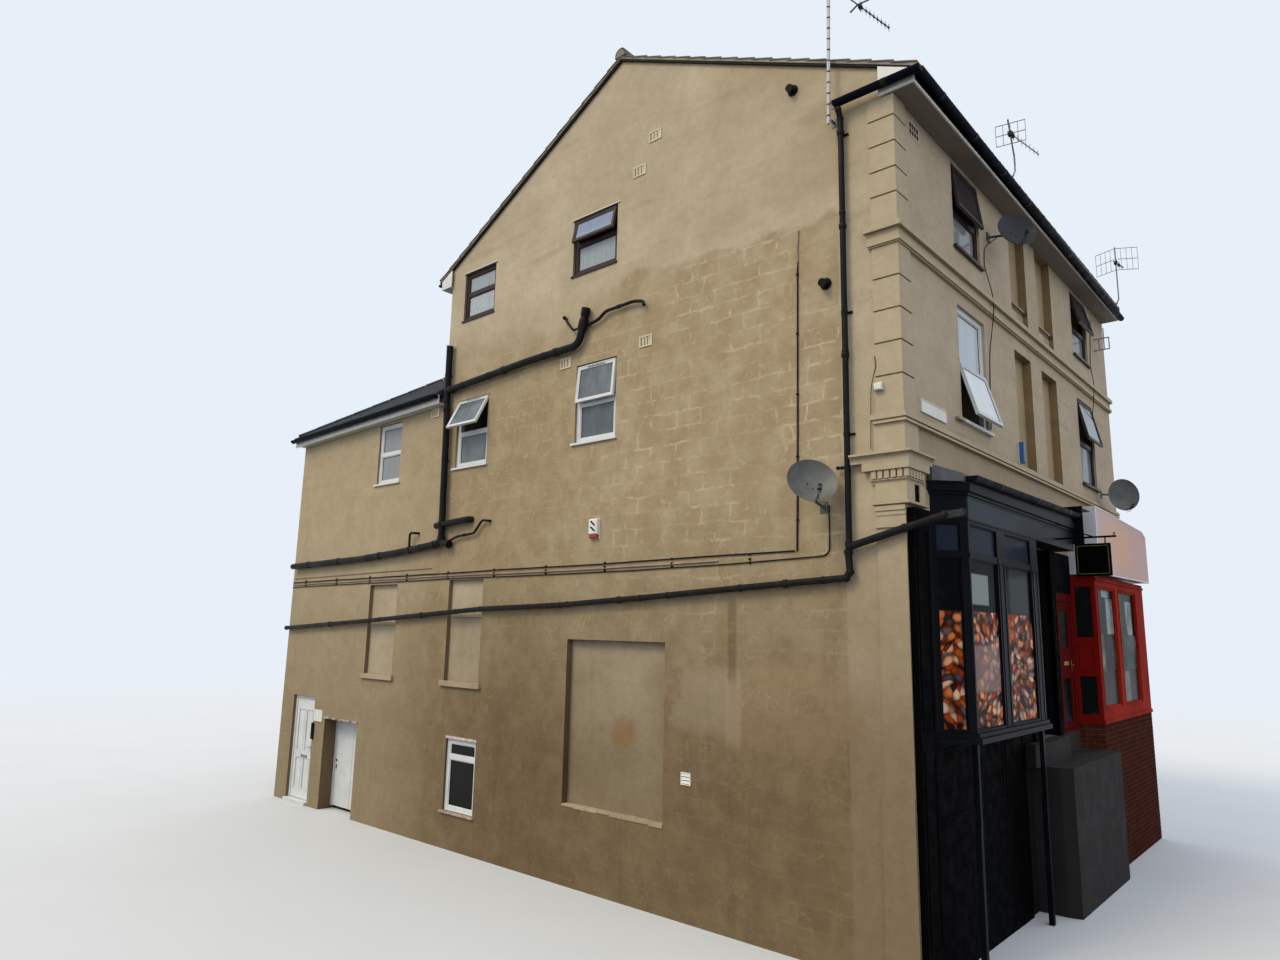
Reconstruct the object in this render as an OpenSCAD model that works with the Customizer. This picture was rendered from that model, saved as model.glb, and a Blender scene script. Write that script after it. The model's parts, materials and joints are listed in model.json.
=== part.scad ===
/* [Building] */
// Width of the shop front from the street corner to the party wall
front_width = 10050; // [9900:50:10600]
// Depth of the main block along the side street
main_depth = 8920; // [8880:20:9100]
// Length of the rear extension along the side street
extension_length = 5300; // [5100:50:6000]
// Width of the rear extension
extension_width = 5400; // [4800:50:5800]
// Thickness of the walls of the main block
wall = 350; // [330:10:380]
// Thickness of the walls of the extension
thin_wall = 350; // [330:10:380]
// Thickness of the floors
floor_thickness = 220; // [160:10:260]

/* [Levels] */
// Level of the shop floor above the lowest ground
shop_floor = 2250; // [2150:10:2300]
// Level of the ground floor of the extension
extension_floor = 2500; // [2400:10:2600]
// Level of the first floor
first_floor = 5600; // [5500:10:5700]
// Level of the second floor
second_floor = 8200; // [8100:10:8300]
// Underside of the front eaves
soffit_level = 10190; // [10150:10:10230]

/* [Roof] */
// Distance of the ridge from the front wall
ridge_y = 4580; // [4400:20:4700]
// Height of the ridge, underside of the tiles
ridge_level = 12830; // [12600:10:13000]
// Height of the tiles' underside above the front wall face
front_eaves_level = 10560; // [10500:10:10620]
// Height of the tiles' underside above the rear wall face
rear_eaves_level = 10380; // [10330:10:10430]
// Thickness of the tiled roof
roof_thickness = 85; // [70:5:110]
// Pitch of the extension roof in degrees
extension_pitch = 32.3; // [30:0.1:34]
// Height of the extension eaves beside the main block
extension_eaves = 7860; // [7820:10:7900]
// Fall of the extension eaves along their length, in degrees
eaves_fall = 1.6; // [0:0.1:2]

/* [Windows] */
// Width of the window frame members
frame_width = 72; // [55:1:85]
// Depth of the window frames
frame_depth = 70; // [60:5:80]
// Setback of the side windows from the wall face
side_reveal = 45; // [30:5:80]
// Opening angle of the first floor sash by the soil stack
rear_sash_angle = 27; // [0:1:40]
// Opening angle of the left sash of the front's first floor
front_sash_angle = 16; // [0:1:30]

/* [Doors] */
// Thickness of the door leaves
leaf_thickness = 45; // [40:1:50]
// Gap round each door leaf
leaf_gap = 8; // [7:1:10]
// Depth of the recess at the lower rear door
door_recess = 270; // [200:10:280]

/* [Shop front] */
// Projection of the canted bay window
bay_projection = 320; // [280:10:350]
// Right corner of the bay window
bay_right = 3540; // [3400:10:3600]
// Height of the bay window sill
bay_sill = 2440; // [2400:10:2480]
// Right end of the shop fascia
fascia_right = 5430; // [5400:10:5440]
// Highest level of the sign board over the red shop
board_top = 5810; // [5700:10:5850]

/* [Corner] */
// Width of the quoin strip along the side street
quoin_width = 320; // [280:10:340]
// Projection of the quoins, which is the depth of their joints
quoin_depth = 22; // [15:1:30]
// Height of the joints between the quoins
joint = 22; // [14:2:30]
// Number of dentils on the side of the capital
dentils = 5; // [3:1:6]

/* [Hidden] */
rear_y = main_depth;
back_y = main_depth + extension_length;
plate = extension_eaves + 105 + 200 * (tan(extension_pitch) - 0.632) - 35;
plate_rear = plate - extension_length * tan(eaves_fall);
origin_x = 4706;
origin_y = 6650;
front_slope = (ridge_level - front_eaves_level) / ridge_y;
rear_slope = (ridge_level - rear_eaves_level) / (rear_y - ridge_y);
head_level = 5000;
side_white = [[7617, 8519, 6445, 7696], [4536, 5414, 6495, 7764]];
side_brown = [[7617, 8519, 9248, 10177], [4600, 5590, 9335, 10310]];
front_lights = [[1840, 2844], [7616, 8661]];
first_sill = 6433;
first_head = 8045;
second_sill = 8898;
second_head = 10130;
extension_light = [10311, 11109, 6395, 7599];
lower_light = [7480, 8290, 600, 1756];
recesses = [[4142, 4934], [5503, 6340]];
rear_lights = [[7000, 7900]];
panelled_door = [12821, 13721, 75, 2134];
cellar_door = [11141, 12373, 40, 1750];
red_door_at = [5270, 6250, 2200, 4350];
bed = 1;
red_threshold = 52;
red_panes = [[70, 700], [1220, 620]];
top_angles = [8, 14];
red_cant_angle = atan2(-330, 220);

module placed() {
    translate([-origin_x, -origin_y, 0]) children();
}

// A box given by its low and high corners
module box(low, high) {
    translate(low) cube([high[0] - low[0], high[1] - low[1], high[2] - low[2]]);
}

// Something set in the side wall: its own x runs towards the street corner and -y outwards
module side_at(y1, z0) {
    translate([0, y1, z0]) rotate([0, 0, -90]) children();
}

// A prism along the street front from a profile in depth and height
module along_front(x0, x1) {
    translate([x0, 0, 0]) rotate([90, 0, 90]) linear_extrude(x1 - x0) children();
}

// The end elevation of the main block, up to the bed under the tiles
module gable_profile(y0, y1) {
    polygon([
        [y0, 0], [y1, 0], [y1, ridge_level - rear_slope * (y1 - ridge_y) - bed],
        [ridge_y, ridge_level - bed], [y0, front_eaves_level + front_slope * y0 - bed]]);
}

module side_window_holes() {
    for (w = side_white) box([-50, w[0], w[2]], [wall + 50, w[1], w[3]]);
    for (w = side_brown) box([-50, w[0], w[2]], [wall + 50, w[1], w[3]]);
    box([-50, lower_light[0], lower_light[2]], [wall + 50, lower_light[1], lower_light[3]]);
}

module side_wall() {
    color("tan") placed() difference() {
        along_front(0, wall) gable_profile(0, rear_y);
        side_window_holes();
        box([-50, 3490, 1100], [110, 5411, 3471]);
        box([-50, 7506, 2700], [75, 8463, 4427]);
    }
}

module front_wall() {
    color("tan") placed() difference() {
        along_front(wall, front_width) polygon([
            [0, head_level], [wall, head_level],
            [wall, front_eaves_level + front_slope * wall - bed], [0, front_eaves_level - bed]]);
        for (w = front_lights) {
            box([w[0], -50, first_sill], [w[1], wall + 50, first_head]);
            box([w[0], -50, second_sill], [w[1], wall + 50, second_head]);
        }
        for (r = recesses) {
            box([r[0], -50, 6210], [r[1], 130, 8034]);
            box([r[0], -50, 8890], [r[1], 130, soffit_level + 15]);
            box([r[0], -50, 8530], [r[1], 70, 8890]);
        }
    }
}

// Brick piers and the walls below the shop windows
module front_wall_piers() {
    d = red_door_at;
    color("tan") placed() {
        box([wall, 0, 0], [650, wall, head_level]);
        box([650, 0, 0], [3860, wall, bay_sill]);
        box([3860, 0, 0], [4040, wall, head_level]);
        box([4040, 0, 0], [d[1], wall, d[2]]);
        box([5100, 0, d[2]], [d[0], wall, head_level]);
        box([d[1], 0, 0], [d[1] + 30, wall, head_level]);
        box([d[1] + 30, 0, 0], [9720, wall, 2290]);
        box([9720, 0, 0], [front_width, wall, head_level]);
    }
}

module party_wall() {
    color("tan") placed() along_front(front_width - wall, front_width) gable_profile(wall, rear_y - wall);
}

module rear_wall() {
    color("tan") placed() difference() {
        along_front(wall, front_width) polygon([
            [rear_y - wall, 0], [rear_y, 0], [rear_y, rear_eaves_level - bed],
            [rear_y - wall, rear_eaves_level + rear_slope * wall - bed]]);
        for (w = rear_lights, z = [3100, 6433, 8750])
            box([w[0], rear_y - wall - 50, z], [w[1], rear_y + 50, z + 1200]);
    }
}

// The side elevation of the extension above its doorways
module extension_upper_wall() {
    color("tan") placed() difference() {
        along_front(0, thin_wall) polygon([
            [rear_y, panelled_door[3]], [cellar_door[0], panelled_door[3]],
                [cellar_door[0], cellar_door[3]],
            [cellar_door[1], cellar_door[3]], [cellar_door[1], panelled_door[3]],
                [back_y, panelled_door[3]],
            [back_y, plate_rear], [rear_y, plate]]);
        box([-50, extension_light[0], extension_light[2]],
            [thin_wall + 50, extension_light[1], extension_light[3]]);
        box([-50, 10090, 2700], [75, 11043, 4390]);
    }
}

module extension_lower_wall() {
    color("tan") placed() {
        box([0, rear_y, 0], [thin_wall, cellar_door[0], panelled_door[3]]);
        box([0, cellar_door[1], 0], [thin_wall, panelled_door[0], panelled_door[3]]);
        box([0, panelled_door[1], 0], [thin_wall, back_y, panelled_door[3]]);
    }
}

// The rear and yard walls of the extension
module extension_yard_walls() {
    color("tan") placed() difference() {
        union() {
            box([thin_wall, back_y - thin_wall, 0], [extension_width - thin_wall, back_y, plate_rear - 20]);
            along_front(extension_width - thin_wall, extension_width) polygon([
                [rear_y, 0], [back_y, 0], [back_y, plate_rear], [rear_y, plate]]);
        }
        for (z = [3100, 6395]) {
            box([2100, back_y - thin_wall - 50, z], [3100, back_y + 50, z + 1200]);
            box([extension_width - thin_wall - 50, 11000, z], [extension_width + 50, 11900, z + 1200]);
        }
    }
}

// A floor of the main block and, at its own level, of the extension
module storey_floor(level, rear_level, thickness) {
    box([wall, wall, level - thickness], [front_width - wall, rear_y - wall, level]);
    box([thin_wall, rear_y, rear_level - thickness],
        [extension_width - thin_wall, back_y - thin_wall, rear_level]);
}

module lower_floor() {
    color("gray") placed() storey_floor(60, 60, 60);
}

module upper_floors() {
    color("gray") placed() {
        storey_floor(shop_floor, extension_floor, floor_thickness);
        storey_floor(first_floor, first_floor, floor_thickness);
        box([wall, wall, second_floor - floor_thickness],
            [front_width - wall, rear_y - wall, second_floor]);
    }
}

module front_slope_profile(thickness) {
    y0 = -360;
    polygon([
        [y0, front_eaves_level + front_slope * y0], [ridge_y, ridge_level],
        [ridge_y, ridge_level + thickness], [y0, front_eaves_level + front_slope * y0 + thickness]]);
}

module rear_slope_profile(thickness) {
    y1 = rear_y + 360;
    polygon([
        [ridge_y, ridge_level], [y1, ridge_level - rear_slope * (y1 - ridge_y)],
        [y1, ridge_level - rear_slope * (y1 - ridge_y) + thickness], [ridge_y, ridge_level + thickness]]);
}

module front_roof_slope() {
    color("dimgray") placed() along_front(-70, front_width) front_slope_profile(roof_thickness);
}

module rear_roof_slope() {
    color("dimgray") placed() along_front(-70, front_width) rear_slope_profile(roof_thickness);
}

module ridge_tiles() {
    color("dimgray") placed() difference() {
        translate([-75, ridge_y, ridge_level + roof_thickness - 10]) rotate([0, 90, 0])
            cylinder(r = 115, h = front_width + 75, $fn = 48);
        translate([-100, 0, 0]) rotate([90, 0, 90]) linear_extrude(front_width + 200) polygon([
            [ridge_y - 1000, ridge_level + roof_thickness - 1000 * front_slope],
                [ridge_y, ridge_level + roof_thickness],
            [ridge_y + 1000, ridge_level + roof_thickness - 1000 * rear_slope],
                [ridge_y, ridge_level - 900]]);
    }
}

// The outside of the hipped extension roof, drawn level
module hipped_roof(drop) {
    half = extension_width / 2 + 200;
    rise = half * tan(extension_pitch);
    intersection() {
        translate([0, back_y + 200, 0]) rotate([90, 0, 0]) linear_extrude(extension_length + 700) polygon([
            [-200, -30 - drop], [-200, -drop], [-200 + half, rise - drop],
            [-200 + 2 * half, -drop], [-200 + 2 * half, -30 - drop]]);
        along_front(-300, extension_width + 300) polygon([
            [rear_y - 500, -30 - drop], [back_y + 200, -30 - drop], [back_y + 200, -drop],
            [back_y + 200 - half, rise - drop], [rear_y - 500, rise - drop]]);
    }
}

module tilted_eaves() {
    translate([0, rear_y, extension_eaves + 10]) rotate([-eaves_fall, 0, 0])
        translate([0, -rear_y, 0]) children();
}

module extension_roof() {
    color("darkslategray") placed() difference() {
        tilted_eaves() translate([0, 0, 30]) difference() {
            hipped_roof(0);
            hipped_roof(95);
        }
        box([-1000, rear_y - 1500, 5000], [extension_width + 1000, rear_y, 12000]);
    }
}

module verge_undercloak() {
    color("dimgray") placed() {
        along_front(-45, 0) polygon([
            [-285, front_eaves_level - 285 * front_slope - 30], [ridge_y, ridge_level - 30],
            [ridge_y, ridge_level - bed], [-285, front_eaves_level - 285 * front_slope - bed]]);
        along_front(-45, 0) polygon([
            [ridge_y, ridge_level - 30], [rear_y + 300, rear_eaves_level - 300 * rear_slope - 30],
            [rear_y + 300, rear_eaves_level - 300 * rear_slope - bed], [ridge_y, ridge_level - bed]]);
    }
}

module eaves_boards() {
    f = soffit_level;
    color("white") placed() {
        // edge of the front soffit and the boxed end under the verge
        box([-40, -310, f], [front_width, -290, f + 40]);
        along_front(-60, -40) polygon([
            [-310, f], [150, f], [150, front_eaves_level + 150 * front_slope - 31],
            [-290, front_eaves_level - 290 * front_slope - 31], [-310, f + 190]]);
        // rear fascia, soffit and boxed end
        box([-40, rear_y + 250, 10020], [front_width, rear_y + 270, 10190]);
        box([-40, rear_y, 10020], [front_width, rear_y + 250, 10040]);
        along_front(-60, -40) polygon([
            [rear_y - 30, 10020], [rear_y + 270, 10020], [rear_y + 270, 10190], [rear_y - 30, 10350]]);
        // extension fascia and soffit
        tilted_eaves() {
            box([-160, rear_y + 5, -170], [-140, back_y + 160, 0]);
            box([-140, rear_y + 5, -170], [-1, back_y + 1, -150]);
        }
    }
}

module front_fascia() {
    color("black") placed() box([-40, -308, soffit_level + 40], [front_width, -290, soffit_level + 190]);
}

module front_soffit() {
    color("rosybrown") placed() box([-40, -290, soffit_level], [front_width, 0, soffit_level + 20]);
}

// Half round gutter along x with closed ends
module gutter(length, radius) {
    rotate([0, 90, 0]) difference() {
        cylinder(r = radius, h = length, $fn = 36);
        translate([0, 0, 4]) cylinder(r = radius - 5, h = length - 8, $fn = 36);
        translate([-radius - 1, -radius - 1, -1]) cube([radius + 1, 2 * radius + 2, length + 2]);
    }
}

module gutters() {
    color("black") placed() {
        translate([-70, -370, 10345]) rotate([0, 0.7, 0]) gutter(front_width + 60, 60);
        // return along the side wall
        translate([-130, 715, 10310]) rotate([0, 0, -90]) gutter(1140, 66);
        translate([-60, rear_y + 332, 10160]) gutter(front_width + 60, 60);
        tilted_eaves() translate([-225, back_y + 180, -20]) rotate([0, 0, -90])
            gutter(extension_length + 170, 62);
        // along the edge of the bay roof
        translate([950, -400, 5512]) rotate([0, -0.7, 0]) gutter(fascia_right - 952, 70);
    }
}

// A pipe through a list of points with a swept fitting at each turn
module pipe_run(points, radius) {
    for (i = [0 : len(points) - 2]) {
        a = points[i];
        b = points[i + 1];
        d = b - a;
        length = norm(d);
        translate(a) rotate([0, acos(d[2] / length), atan2(d[1], d[0])])
            cylinder(r = radius, h = length, $fn = 24);
    }
    for (p = points) translate(p) sphere(r = radius * 1.18, $fn = 24);
}

module downpipe() {
    x = -75;
    color("black") placed() {
        pipe_run([[-130, 662, 10195], [x, 662, 10090], [x, 664, 8800], [x, 668, 7000], [x, 676, 4565]], 37);
        // drain along the foot of the ground floor
        pipe_run([[x, 690, 4571], [x, 671, 4339], [x, 723, 4271], [x, 2205, 4181], [x, 3896, 4071],
            [x, 5518, 3979], [x, 7461, 3920], [x, 10838, 3703], [x, 14190, 3518]], 41);
        // branch from the shop gutter
        pipe_run([[x - 17, 660, 4630], [x - 17, -12, 4805], [x - 17, -467, 4917], [300, -500, 4990]], 43);
        // capped stub
        pipe_run([[-58, 808, 5578], [-62, 700, 5572]], 20);
    }
}

module soil_pipes() {
    x = -90;
    w = -60;
    color("black") placed() {
        // stack and its lower run
        pipe_run([[x, 8762, 8790], [x, 8751, 7749], [x, 8721, 7355], [x, 8680, 5850], [x, 8663, 5125]], 60);
        pipe_run([[x, 8663, 5125], [x, 8410, 5050]], 60);
        pipe_run([[x, 8663, 5070], [x, 9948, 4985], [x, 11355, 4909], [x, 14130, 4850]], 66);
        pipe_run([[x, 9660, 5040], [x, 9659, 5328], [x, 9495, 5319], [-28, 9480, 5319]], 22);
        // branches into the stack
        pipe_run([[x, 8844, 5407], [x, 7882, 5466]], 56);
        pipe_run([[x, 8740, 7925], [x, 6458, 8050], [x, 5300, 8070], [x, 5211, 8386], [x, 5155, 8640]], 60);
        // small wastes
        pipe_run([[w, 8523, 5102], [w, 8238, 5184], [w, 7758, 5217], [w, 7557, 5429],
            [w, 7392, 5409], [-26, 7380, 5409]], 20);
        pipe_run([[w, 5241, 8385], [w, 5469, 8370], [w, 5669, 8621], [-25, 5690, 8640]], 19);
        pipe_run([[w, 4995, 8377], [w, 4866, 8429], [w, 4739, 8514], [w, 4154, 8530],
            [w, 3971, 8484], [w, 3950, 8415]], 19);
        // flue ends
        for (f = [[1390, 10850], [949, 7963]])
            pipe_run([[-34, f[0], f[1]], [-110, f[0], f[1]], [-110, f[0], f[1] - 90]], 27);
    }
}

module cable_runs() {
    x = -15;
    color("black") placed() {
        pipe_run([[x, 1340, 8560], [x, 1384, 4600]], 10);
        pipe_run([[x, 1700, 4572], [x, 2574, 4543], [x, 6088, 4518], [x, 9374, 4506],
            [x, 14130, 4453]], 11);
        pipe_run([[x, 960, 5180], [x, 960, 4540], [x, 1700, 4532], [x, 2548, 4500]], 9);
        pipe_run([[x, 9016, 4600], [x, 13931, 4556]], 7);
    }
}

// A square edged moulding that runs along the front and returns round the corner
module corner_mould(z0, z1, out, side_end, front_end) {
    difference() {
        box([-out, -out, z0], [front_end, side_end, z1]);
        box([0, 0, z0 - 1], [front_end + 1, side_end + 1, z1 + 1]);
    }
}

// A profile carried round the corner with a mitre: x is the distance out from the wall, negative
module mitred_mould(side_end, front_end) {
    intersection() {
        translate([0, side_end, 0]) rotate([90, 0, 0]) linear_extrude(side_end + 300) children();
        linear_extrude(soffit_level) polygon([[-300, -300], [0, 0], [0, side_end + 1],
            [-300, side_end + 1]]);
    }
    intersection() {
        along_front(-300, front_end) children();
        linear_extrude(soffit_level) polygon([[-300, -300], [0, 0], [front_end + 1, 0],
            [front_end + 1, -300]]);
    }
}

module string_courses() {
    color("tan") placed() {
        corner_mould(8500, 8520, 45, 400, front_width);
        corner_mould(8430, 8500, 80, 400, front_width);
        corner_mould(8300, 8430, 30, 380, front_width);
        corner_mould(8255, 8300, 60, 360, front_width);
        corner_mould(8235, 8255, 40, 350, front_width);
        corner_mould(6150, 6170, 35, 390, front_width);
        corner_mould(6100, 6150, 55, 390, front_width);
        corner_mould(6075, 6100, 30, 370, front_width);
        corner_mould(6050, 6075, 55, 350, front_width);
    }
}

// Blocks of one height between joints that go back to the wall
module quoin_blocks(levels, side_end, front_end) {
    for (i = [0 : len(levels) - 2])
        corner_mould(levels[i] + joint / 2, levels[i + 1] - joint / 2, quoin_depth, side_end, front_end);
}

module corner_quoins() {
    h = joint / 2;
    color("tan") placed() {
        quoin_blocks([5716 - h, 6050 + h], 360, 360);
        quoin_blocks([6170 - h, 6621, 7025, 7428, 7830, 8235 + h], quoin_width, 325);
        quoin_blocks([8520 - h, 8892, 9220, 9560, 9905, 10190 + h], quoin_width, 325);
    }
}

module corner_capital() {
    color("tan") placed() {
        // cornice: a hollow crown, a fillet and a weathered top
        mitred_mould(634, 577) polygon(concat(
            [[0, 5590], [-82, 5590]],
            [for (a = [0 : 15 : 90]) [-82 - 36 * (1 - cos(a)), 5598 + 60 * sin(a)]],
            [[-106, 5662], [-106, 5672], [-130, 5674], [-130, 5700], [0, 5716]]));
        // corona block
        corner_mould(5495, 5590, 80, 492, 500);
        // dentil band
        corner_mould(5390, 5495, 30, 420, 410);
        for (i = [0 : dentils - 1])
            translate([-62, 8 + i * 80, 5397]) cube([32, 56, 92]);
        for (i = [0 : 4])
            translate([8 + i * 80, -62, 5397]) cube([56, 32, 92]);
        box([-62, -62, 5397], [-16, -16, 5489]);
        // necking
        mitred_mould(400, 400) polygon(concat(
            [[0, 5340], [-25, 5340]],
            [for (a = [0 : 15 : 90]) [-25 - 25 * (1 - cos(a)), 5345 + 33 * sin(a)]],
            [[-50, 5390], [0, 5390]]));
        corner_mould(5128, 5340, 25, 358, 190);
        box([330, -25, 5128], [480, 0, 5340]);
        mitred_mould(382, 480) polygon([[0, 5090], [-44, 5090], [-62, 5098], [-62, 5124],
            [-52, 5128], [0, 5128]]);
        box([-25, 0, 4857], [0, 350, 5090]);
        box([-46, 0, 5025], [0, 360, 5079]);
        box([-34, 0, 4972], [0, 352, 5017]);
        box([-44, 0, 4832], [0, 356, 4857]);
    }
}

module corner_pilaster() {
    color("tan") placed() {
        box([-22, 0, 1930], [0, 350, 4832]);
        box([-45, 0, 0], [0, 375, 1930]);
    }
}

// Frame of a window with an upper and a lower light
module window_frame(w, h, bar) {
    f = frame_width;
    difference() {
        cube([w, frame_depth, h]);
        translate([f, -1, f]) cube([w - 2 * f, frame_depth + 2, bar - 1.5 * f]);
        translate([f, -1, bar + f / 2]) cube([w - 2 * f, frame_depth + 2, h - bar - 1.5 * f]);
    }
}

// Hung sash standing open: its top edge lies at the origin
module open_sash(w, h, angle) {
    rotate([-angle, 0, 0]) translate([0, -40, -h]) difference() {
        cube([w, 38, h]);
        translate([45, -1, 45]) cube([w - 90, 40, h - 90]);
    }
}

module open_pane(w, h, angle) {
    rotate([-angle, 0, 0]) translate([45, -28, -h + 45]) cube([w - 90, 14, h - 90]);
}

module panes(w, h, bar, lower, upper) {
    f = frame_width;
    if (lower) translate([f, 25, f]) cube([w - 2 * f, 14, bar - 1.5 * f]);
    if (upper) translate([f, 25, bar + f / 2]) cube([w - 2 * f, 14, h - bar - 1.5 * f]);
}

module white_window_frames() {
    f = frame_width;
    color("white") placed() {
        for (w = concat(side_white, [extension_light]))
            side_at(w[1], w[2]) translate([0, side_reveal, 0])
                window_frame(w[1] - w[0], w[3] - w[2], (w[3] - w[2]) / 2);
        side_at(lower_light[1], lower_light[2]) translate([0, side_reveal, 0])
            window_frame(lower_light[1] - lower_light[0], lower_light[3] - lower_light[2], 860);
        // open sashes
        side_at(side_white[0][1], side_white[0][3] - 30) translate([30, side_reveal, 0])
            open_sash(842, 600, rear_sash_angle);
        side_at(side_white[1][1], side_white[1][3] - 30) translate([30, side_reveal, 0])
            open_sash(818, 600, 5);
        // front first floor, left
        w = front_lights[0];
        translate([w[0], side_reveal, first_sill]) window_frame(w[1] - w[0], first_head - first_sill, 800);
        translate([w[0] + 30, side_reveal, first_sill + 792])
            open_sash(w[1] - w[0] - 60, 768, front_sash_angle);
        // rear and yard windows
        for (r = rear_lights, z = [3100, 6433, 8750])
            translate([r[1], rear_y - side_reveal, z]) rotate([0, 0, 180])
                window_frame(r[1] - r[0], 1200, 600);
        for (z = [3100, 6395]) {
            translate([3100, back_y - side_reveal, z]) rotate([0, 0, 180]) window_frame(1000, 1200, 600);
            translate([extension_width - side_reveal, 11000, z]) rotate([0, 0, 90])
                window_frame(900, 1200, 600);
        }
    }
}

module brown_window_frames() {
    color("saddlebrown") placed() {
        for (w = side_brown)
            side_at(w[1], w[2]) translate([0, side_reveal, 0])
                window_frame(w[1] - w[0], w[3] - w[2], (w[3] - w[2]) * 0.55);
        side_at(side_brown[1][1], side_brown[1][3] - 30) translate([30, side_reveal, 0])
            open_sash(930, 400, 12);
        for (i = [0, 1]) {
            w = front_lights[i];
            translate([w[0], side_reveal, second_sill])
                window_frame(w[1] - w[0], second_head - second_sill, 560);
            translate([w[0] + 30, side_reveal, second_head - 30])
                open_sash(w[1] - w[0] - 60, 640, top_angles[i]);
            box([w[0] - 30, -50, second_sill - 40], [w[1] + 30, 0, second_sill]);
        }
        r = front_lights[1];
        translate([r[0], side_reveal, first_sill]) window_frame(r[1] - r[0], first_head - first_sill, 800);
        translate([r[0] + 30, side_reveal, first_head - 30]) open_sash(r[1] - r[0] - 60, 784, 12);
        box([r[0] - 30, -55, first_sill - 40], [r[1] + 30, 0, first_sill]);
        // side sills
        for (v = side_brown) box([-22, v[0] - 15, v[2] - 34], [0, v[1] + 25, v[2]]);
    }
}

module window_glass() {
    color("lightblue") placed() {
        side_at(side_white[0][1], side_white[0][2]) translate([0, side_reveal, 0])
            panes(902, 1251, 625.5, true, false);
        side_at(side_white[0][1], side_white[0][3] - 30) translate([30, side_reveal, 0])
            open_pane(842, 600, rear_sash_angle);
        side_at(side_white[1][1], side_white[1][2]) translate([0, side_reveal, 0])
            panes(878, 1269, 634.5, true, false);
        side_at(side_white[1][1], side_white[1][3] - 30) translate([30, side_reveal, 0])
            open_pane(818, 600, 5);
        side_at(extension_light[1], extension_light[2]) translate([0, side_reveal, 0])
            panes(798, 1204, 602, true, true);
        side_at(lower_light[1], lower_light[2]) translate([0, side_reveal, 0])
            panes(810, 1156, 860, true, true);
        side_at(side_brown[0][1], side_brown[0][2]) translate([0, side_reveal, 0])
            panes(902, 929, 929 * 0.55, true, true);
        side_at(side_brown[1][1], side_brown[1][2]) translate([0, side_reveal, 0])
            panes(990, 975, 975 * 0.55, true, false);
        side_at(side_brown[1][1], side_brown[1][3] - 30) translate([30, side_reveal, 0])
            open_pane(930, 400, 12);
        w = front_lights[0];
        translate([w[0], side_reveal, first_sill])
            panes(w[1] - w[0], first_head - first_sill, 800, false, true);
        translate([w[0] + 30, side_reveal, first_sill + 792])
            open_pane(w[1] - w[0] - 60, 768, front_sash_angle);
        for (i = [0, 1]) {
            v = front_lights[i];
            translate([v[0], side_reveal, second_sill])
                panes(v[1] - v[0], second_head - second_sill, 560, true, false);
            translate([v[0] + 30, side_reveal, second_head - 30])
                open_pane(v[1] - v[0] - 60, 640, top_angles[i]);
        }
        r = front_lights[1];
        translate([r[0], side_reveal, first_sill])
            panes(r[1] - r[0], first_head - first_sill, 800, true, false);
        translate([r[0] + 30, side_reveal, first_head - 30]) open_pane(r[1] - r[0] - 60, 784, 12);
        for (q = rear_lights, z = [3100, 6433, 8750])
            translate([q[1], rear_y - side_reveal, z]) rotate([0, 0, 180])
                panes(q[1] - q[0], 1200, 600, true, true);
        for (z = [3100, 6395]) {
            translate([3100, back_y - side_reveal, z]) rotate([0, 0, 180])
                panes(1000, 1200, 600, true, true);
            translate([extension_width - side_reveal, 11000, z]) rotate([0, 0, 90])
                panes(900, 1200, 600, true, true);
        }
    }
}

module window_sills() {
    color("white") placed() {
        for (w = concat(side_white, [extension_light], [lower_light]))
            box([-35, w[0] - 40, w[2] - 35], [0, w[1] + 60, w[2]]);
        box([-40, 7440, 2640], [0, 8540, 2700]);
        box([-40, 10030, 2640], [0, 11110, 2700]);
        box([front_lights[0][0] - 264, -60, first_sill - 40], [front_lights[0][1] + 30, 0, first_sill]);
    }
}

module door_frame(w, h, f, depth) {
    difference() {
        cube([w, depth, h]);
        translate([f, -1, -1]) cube([w - 2 * f, depth + 2, h - f + 1]);
    }
}

module rear_door_frames() {
    p = panelled_door;
    c = cellar_door;
    color("white") placed() {
        side_at(p[1], p[2]) translate([0, 60, 0]) door_frame(p[1] - p[0], p[3] - p[2], 60, 70);
        // threshold of the panelled door
        box([-60, p[0], 0], [190, p[1], 70]);
        // frame with a fixed side panel in the deep recess
        side_at(c[1], c[2] + 20) translate([0, door_recess - 5, 0]) {
            difference() {
                cube([c[1] - c[0], 60, c[3] - c[2] - 20]);
                translate([50, -1, -1]) cube([850, 62, c[3] - c[2] - 70]);
            }
        }
        // drip over the recess
        box([-25, c[0] - 20, c[3]], [0, c[1] + 20, c[3] + 30]);
    }
}

// Hinge barrels on the inner edge of a door leaf
module hinge_barrels(x, y, levels) {
    for (z = levels) translate([x, y, z]) cylinder(r = 6, h = 90, $fn = 24);
}

module panelled_rear_door() {
    p = panelled_door;
    g = leaf_gap;
    w = p[1] - p[0] - 120 - 2 * g;
    h = p[3] - p[2] - 60 - 2 * g;
    color("white") placed() side_at(p[1] - 60 - g, p[2] + g) translate([0, 72, 0]) difference() {
        cube([w, leaf_thickness, h]);
        for (x = [95, w / 2 + 35]) {
            translate([x, -1, 180]) cube([w / 2 - 130, 13, 620]);
            translate([x, -1, 950]) cube([w / 2 - 130, 13, 820]);
        }
    }
    placed() hinge_barrels(117, p[1] - 60 - g, [p[2] + 250, p[2] + 1000, p[2] + 1750]);
}

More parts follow.
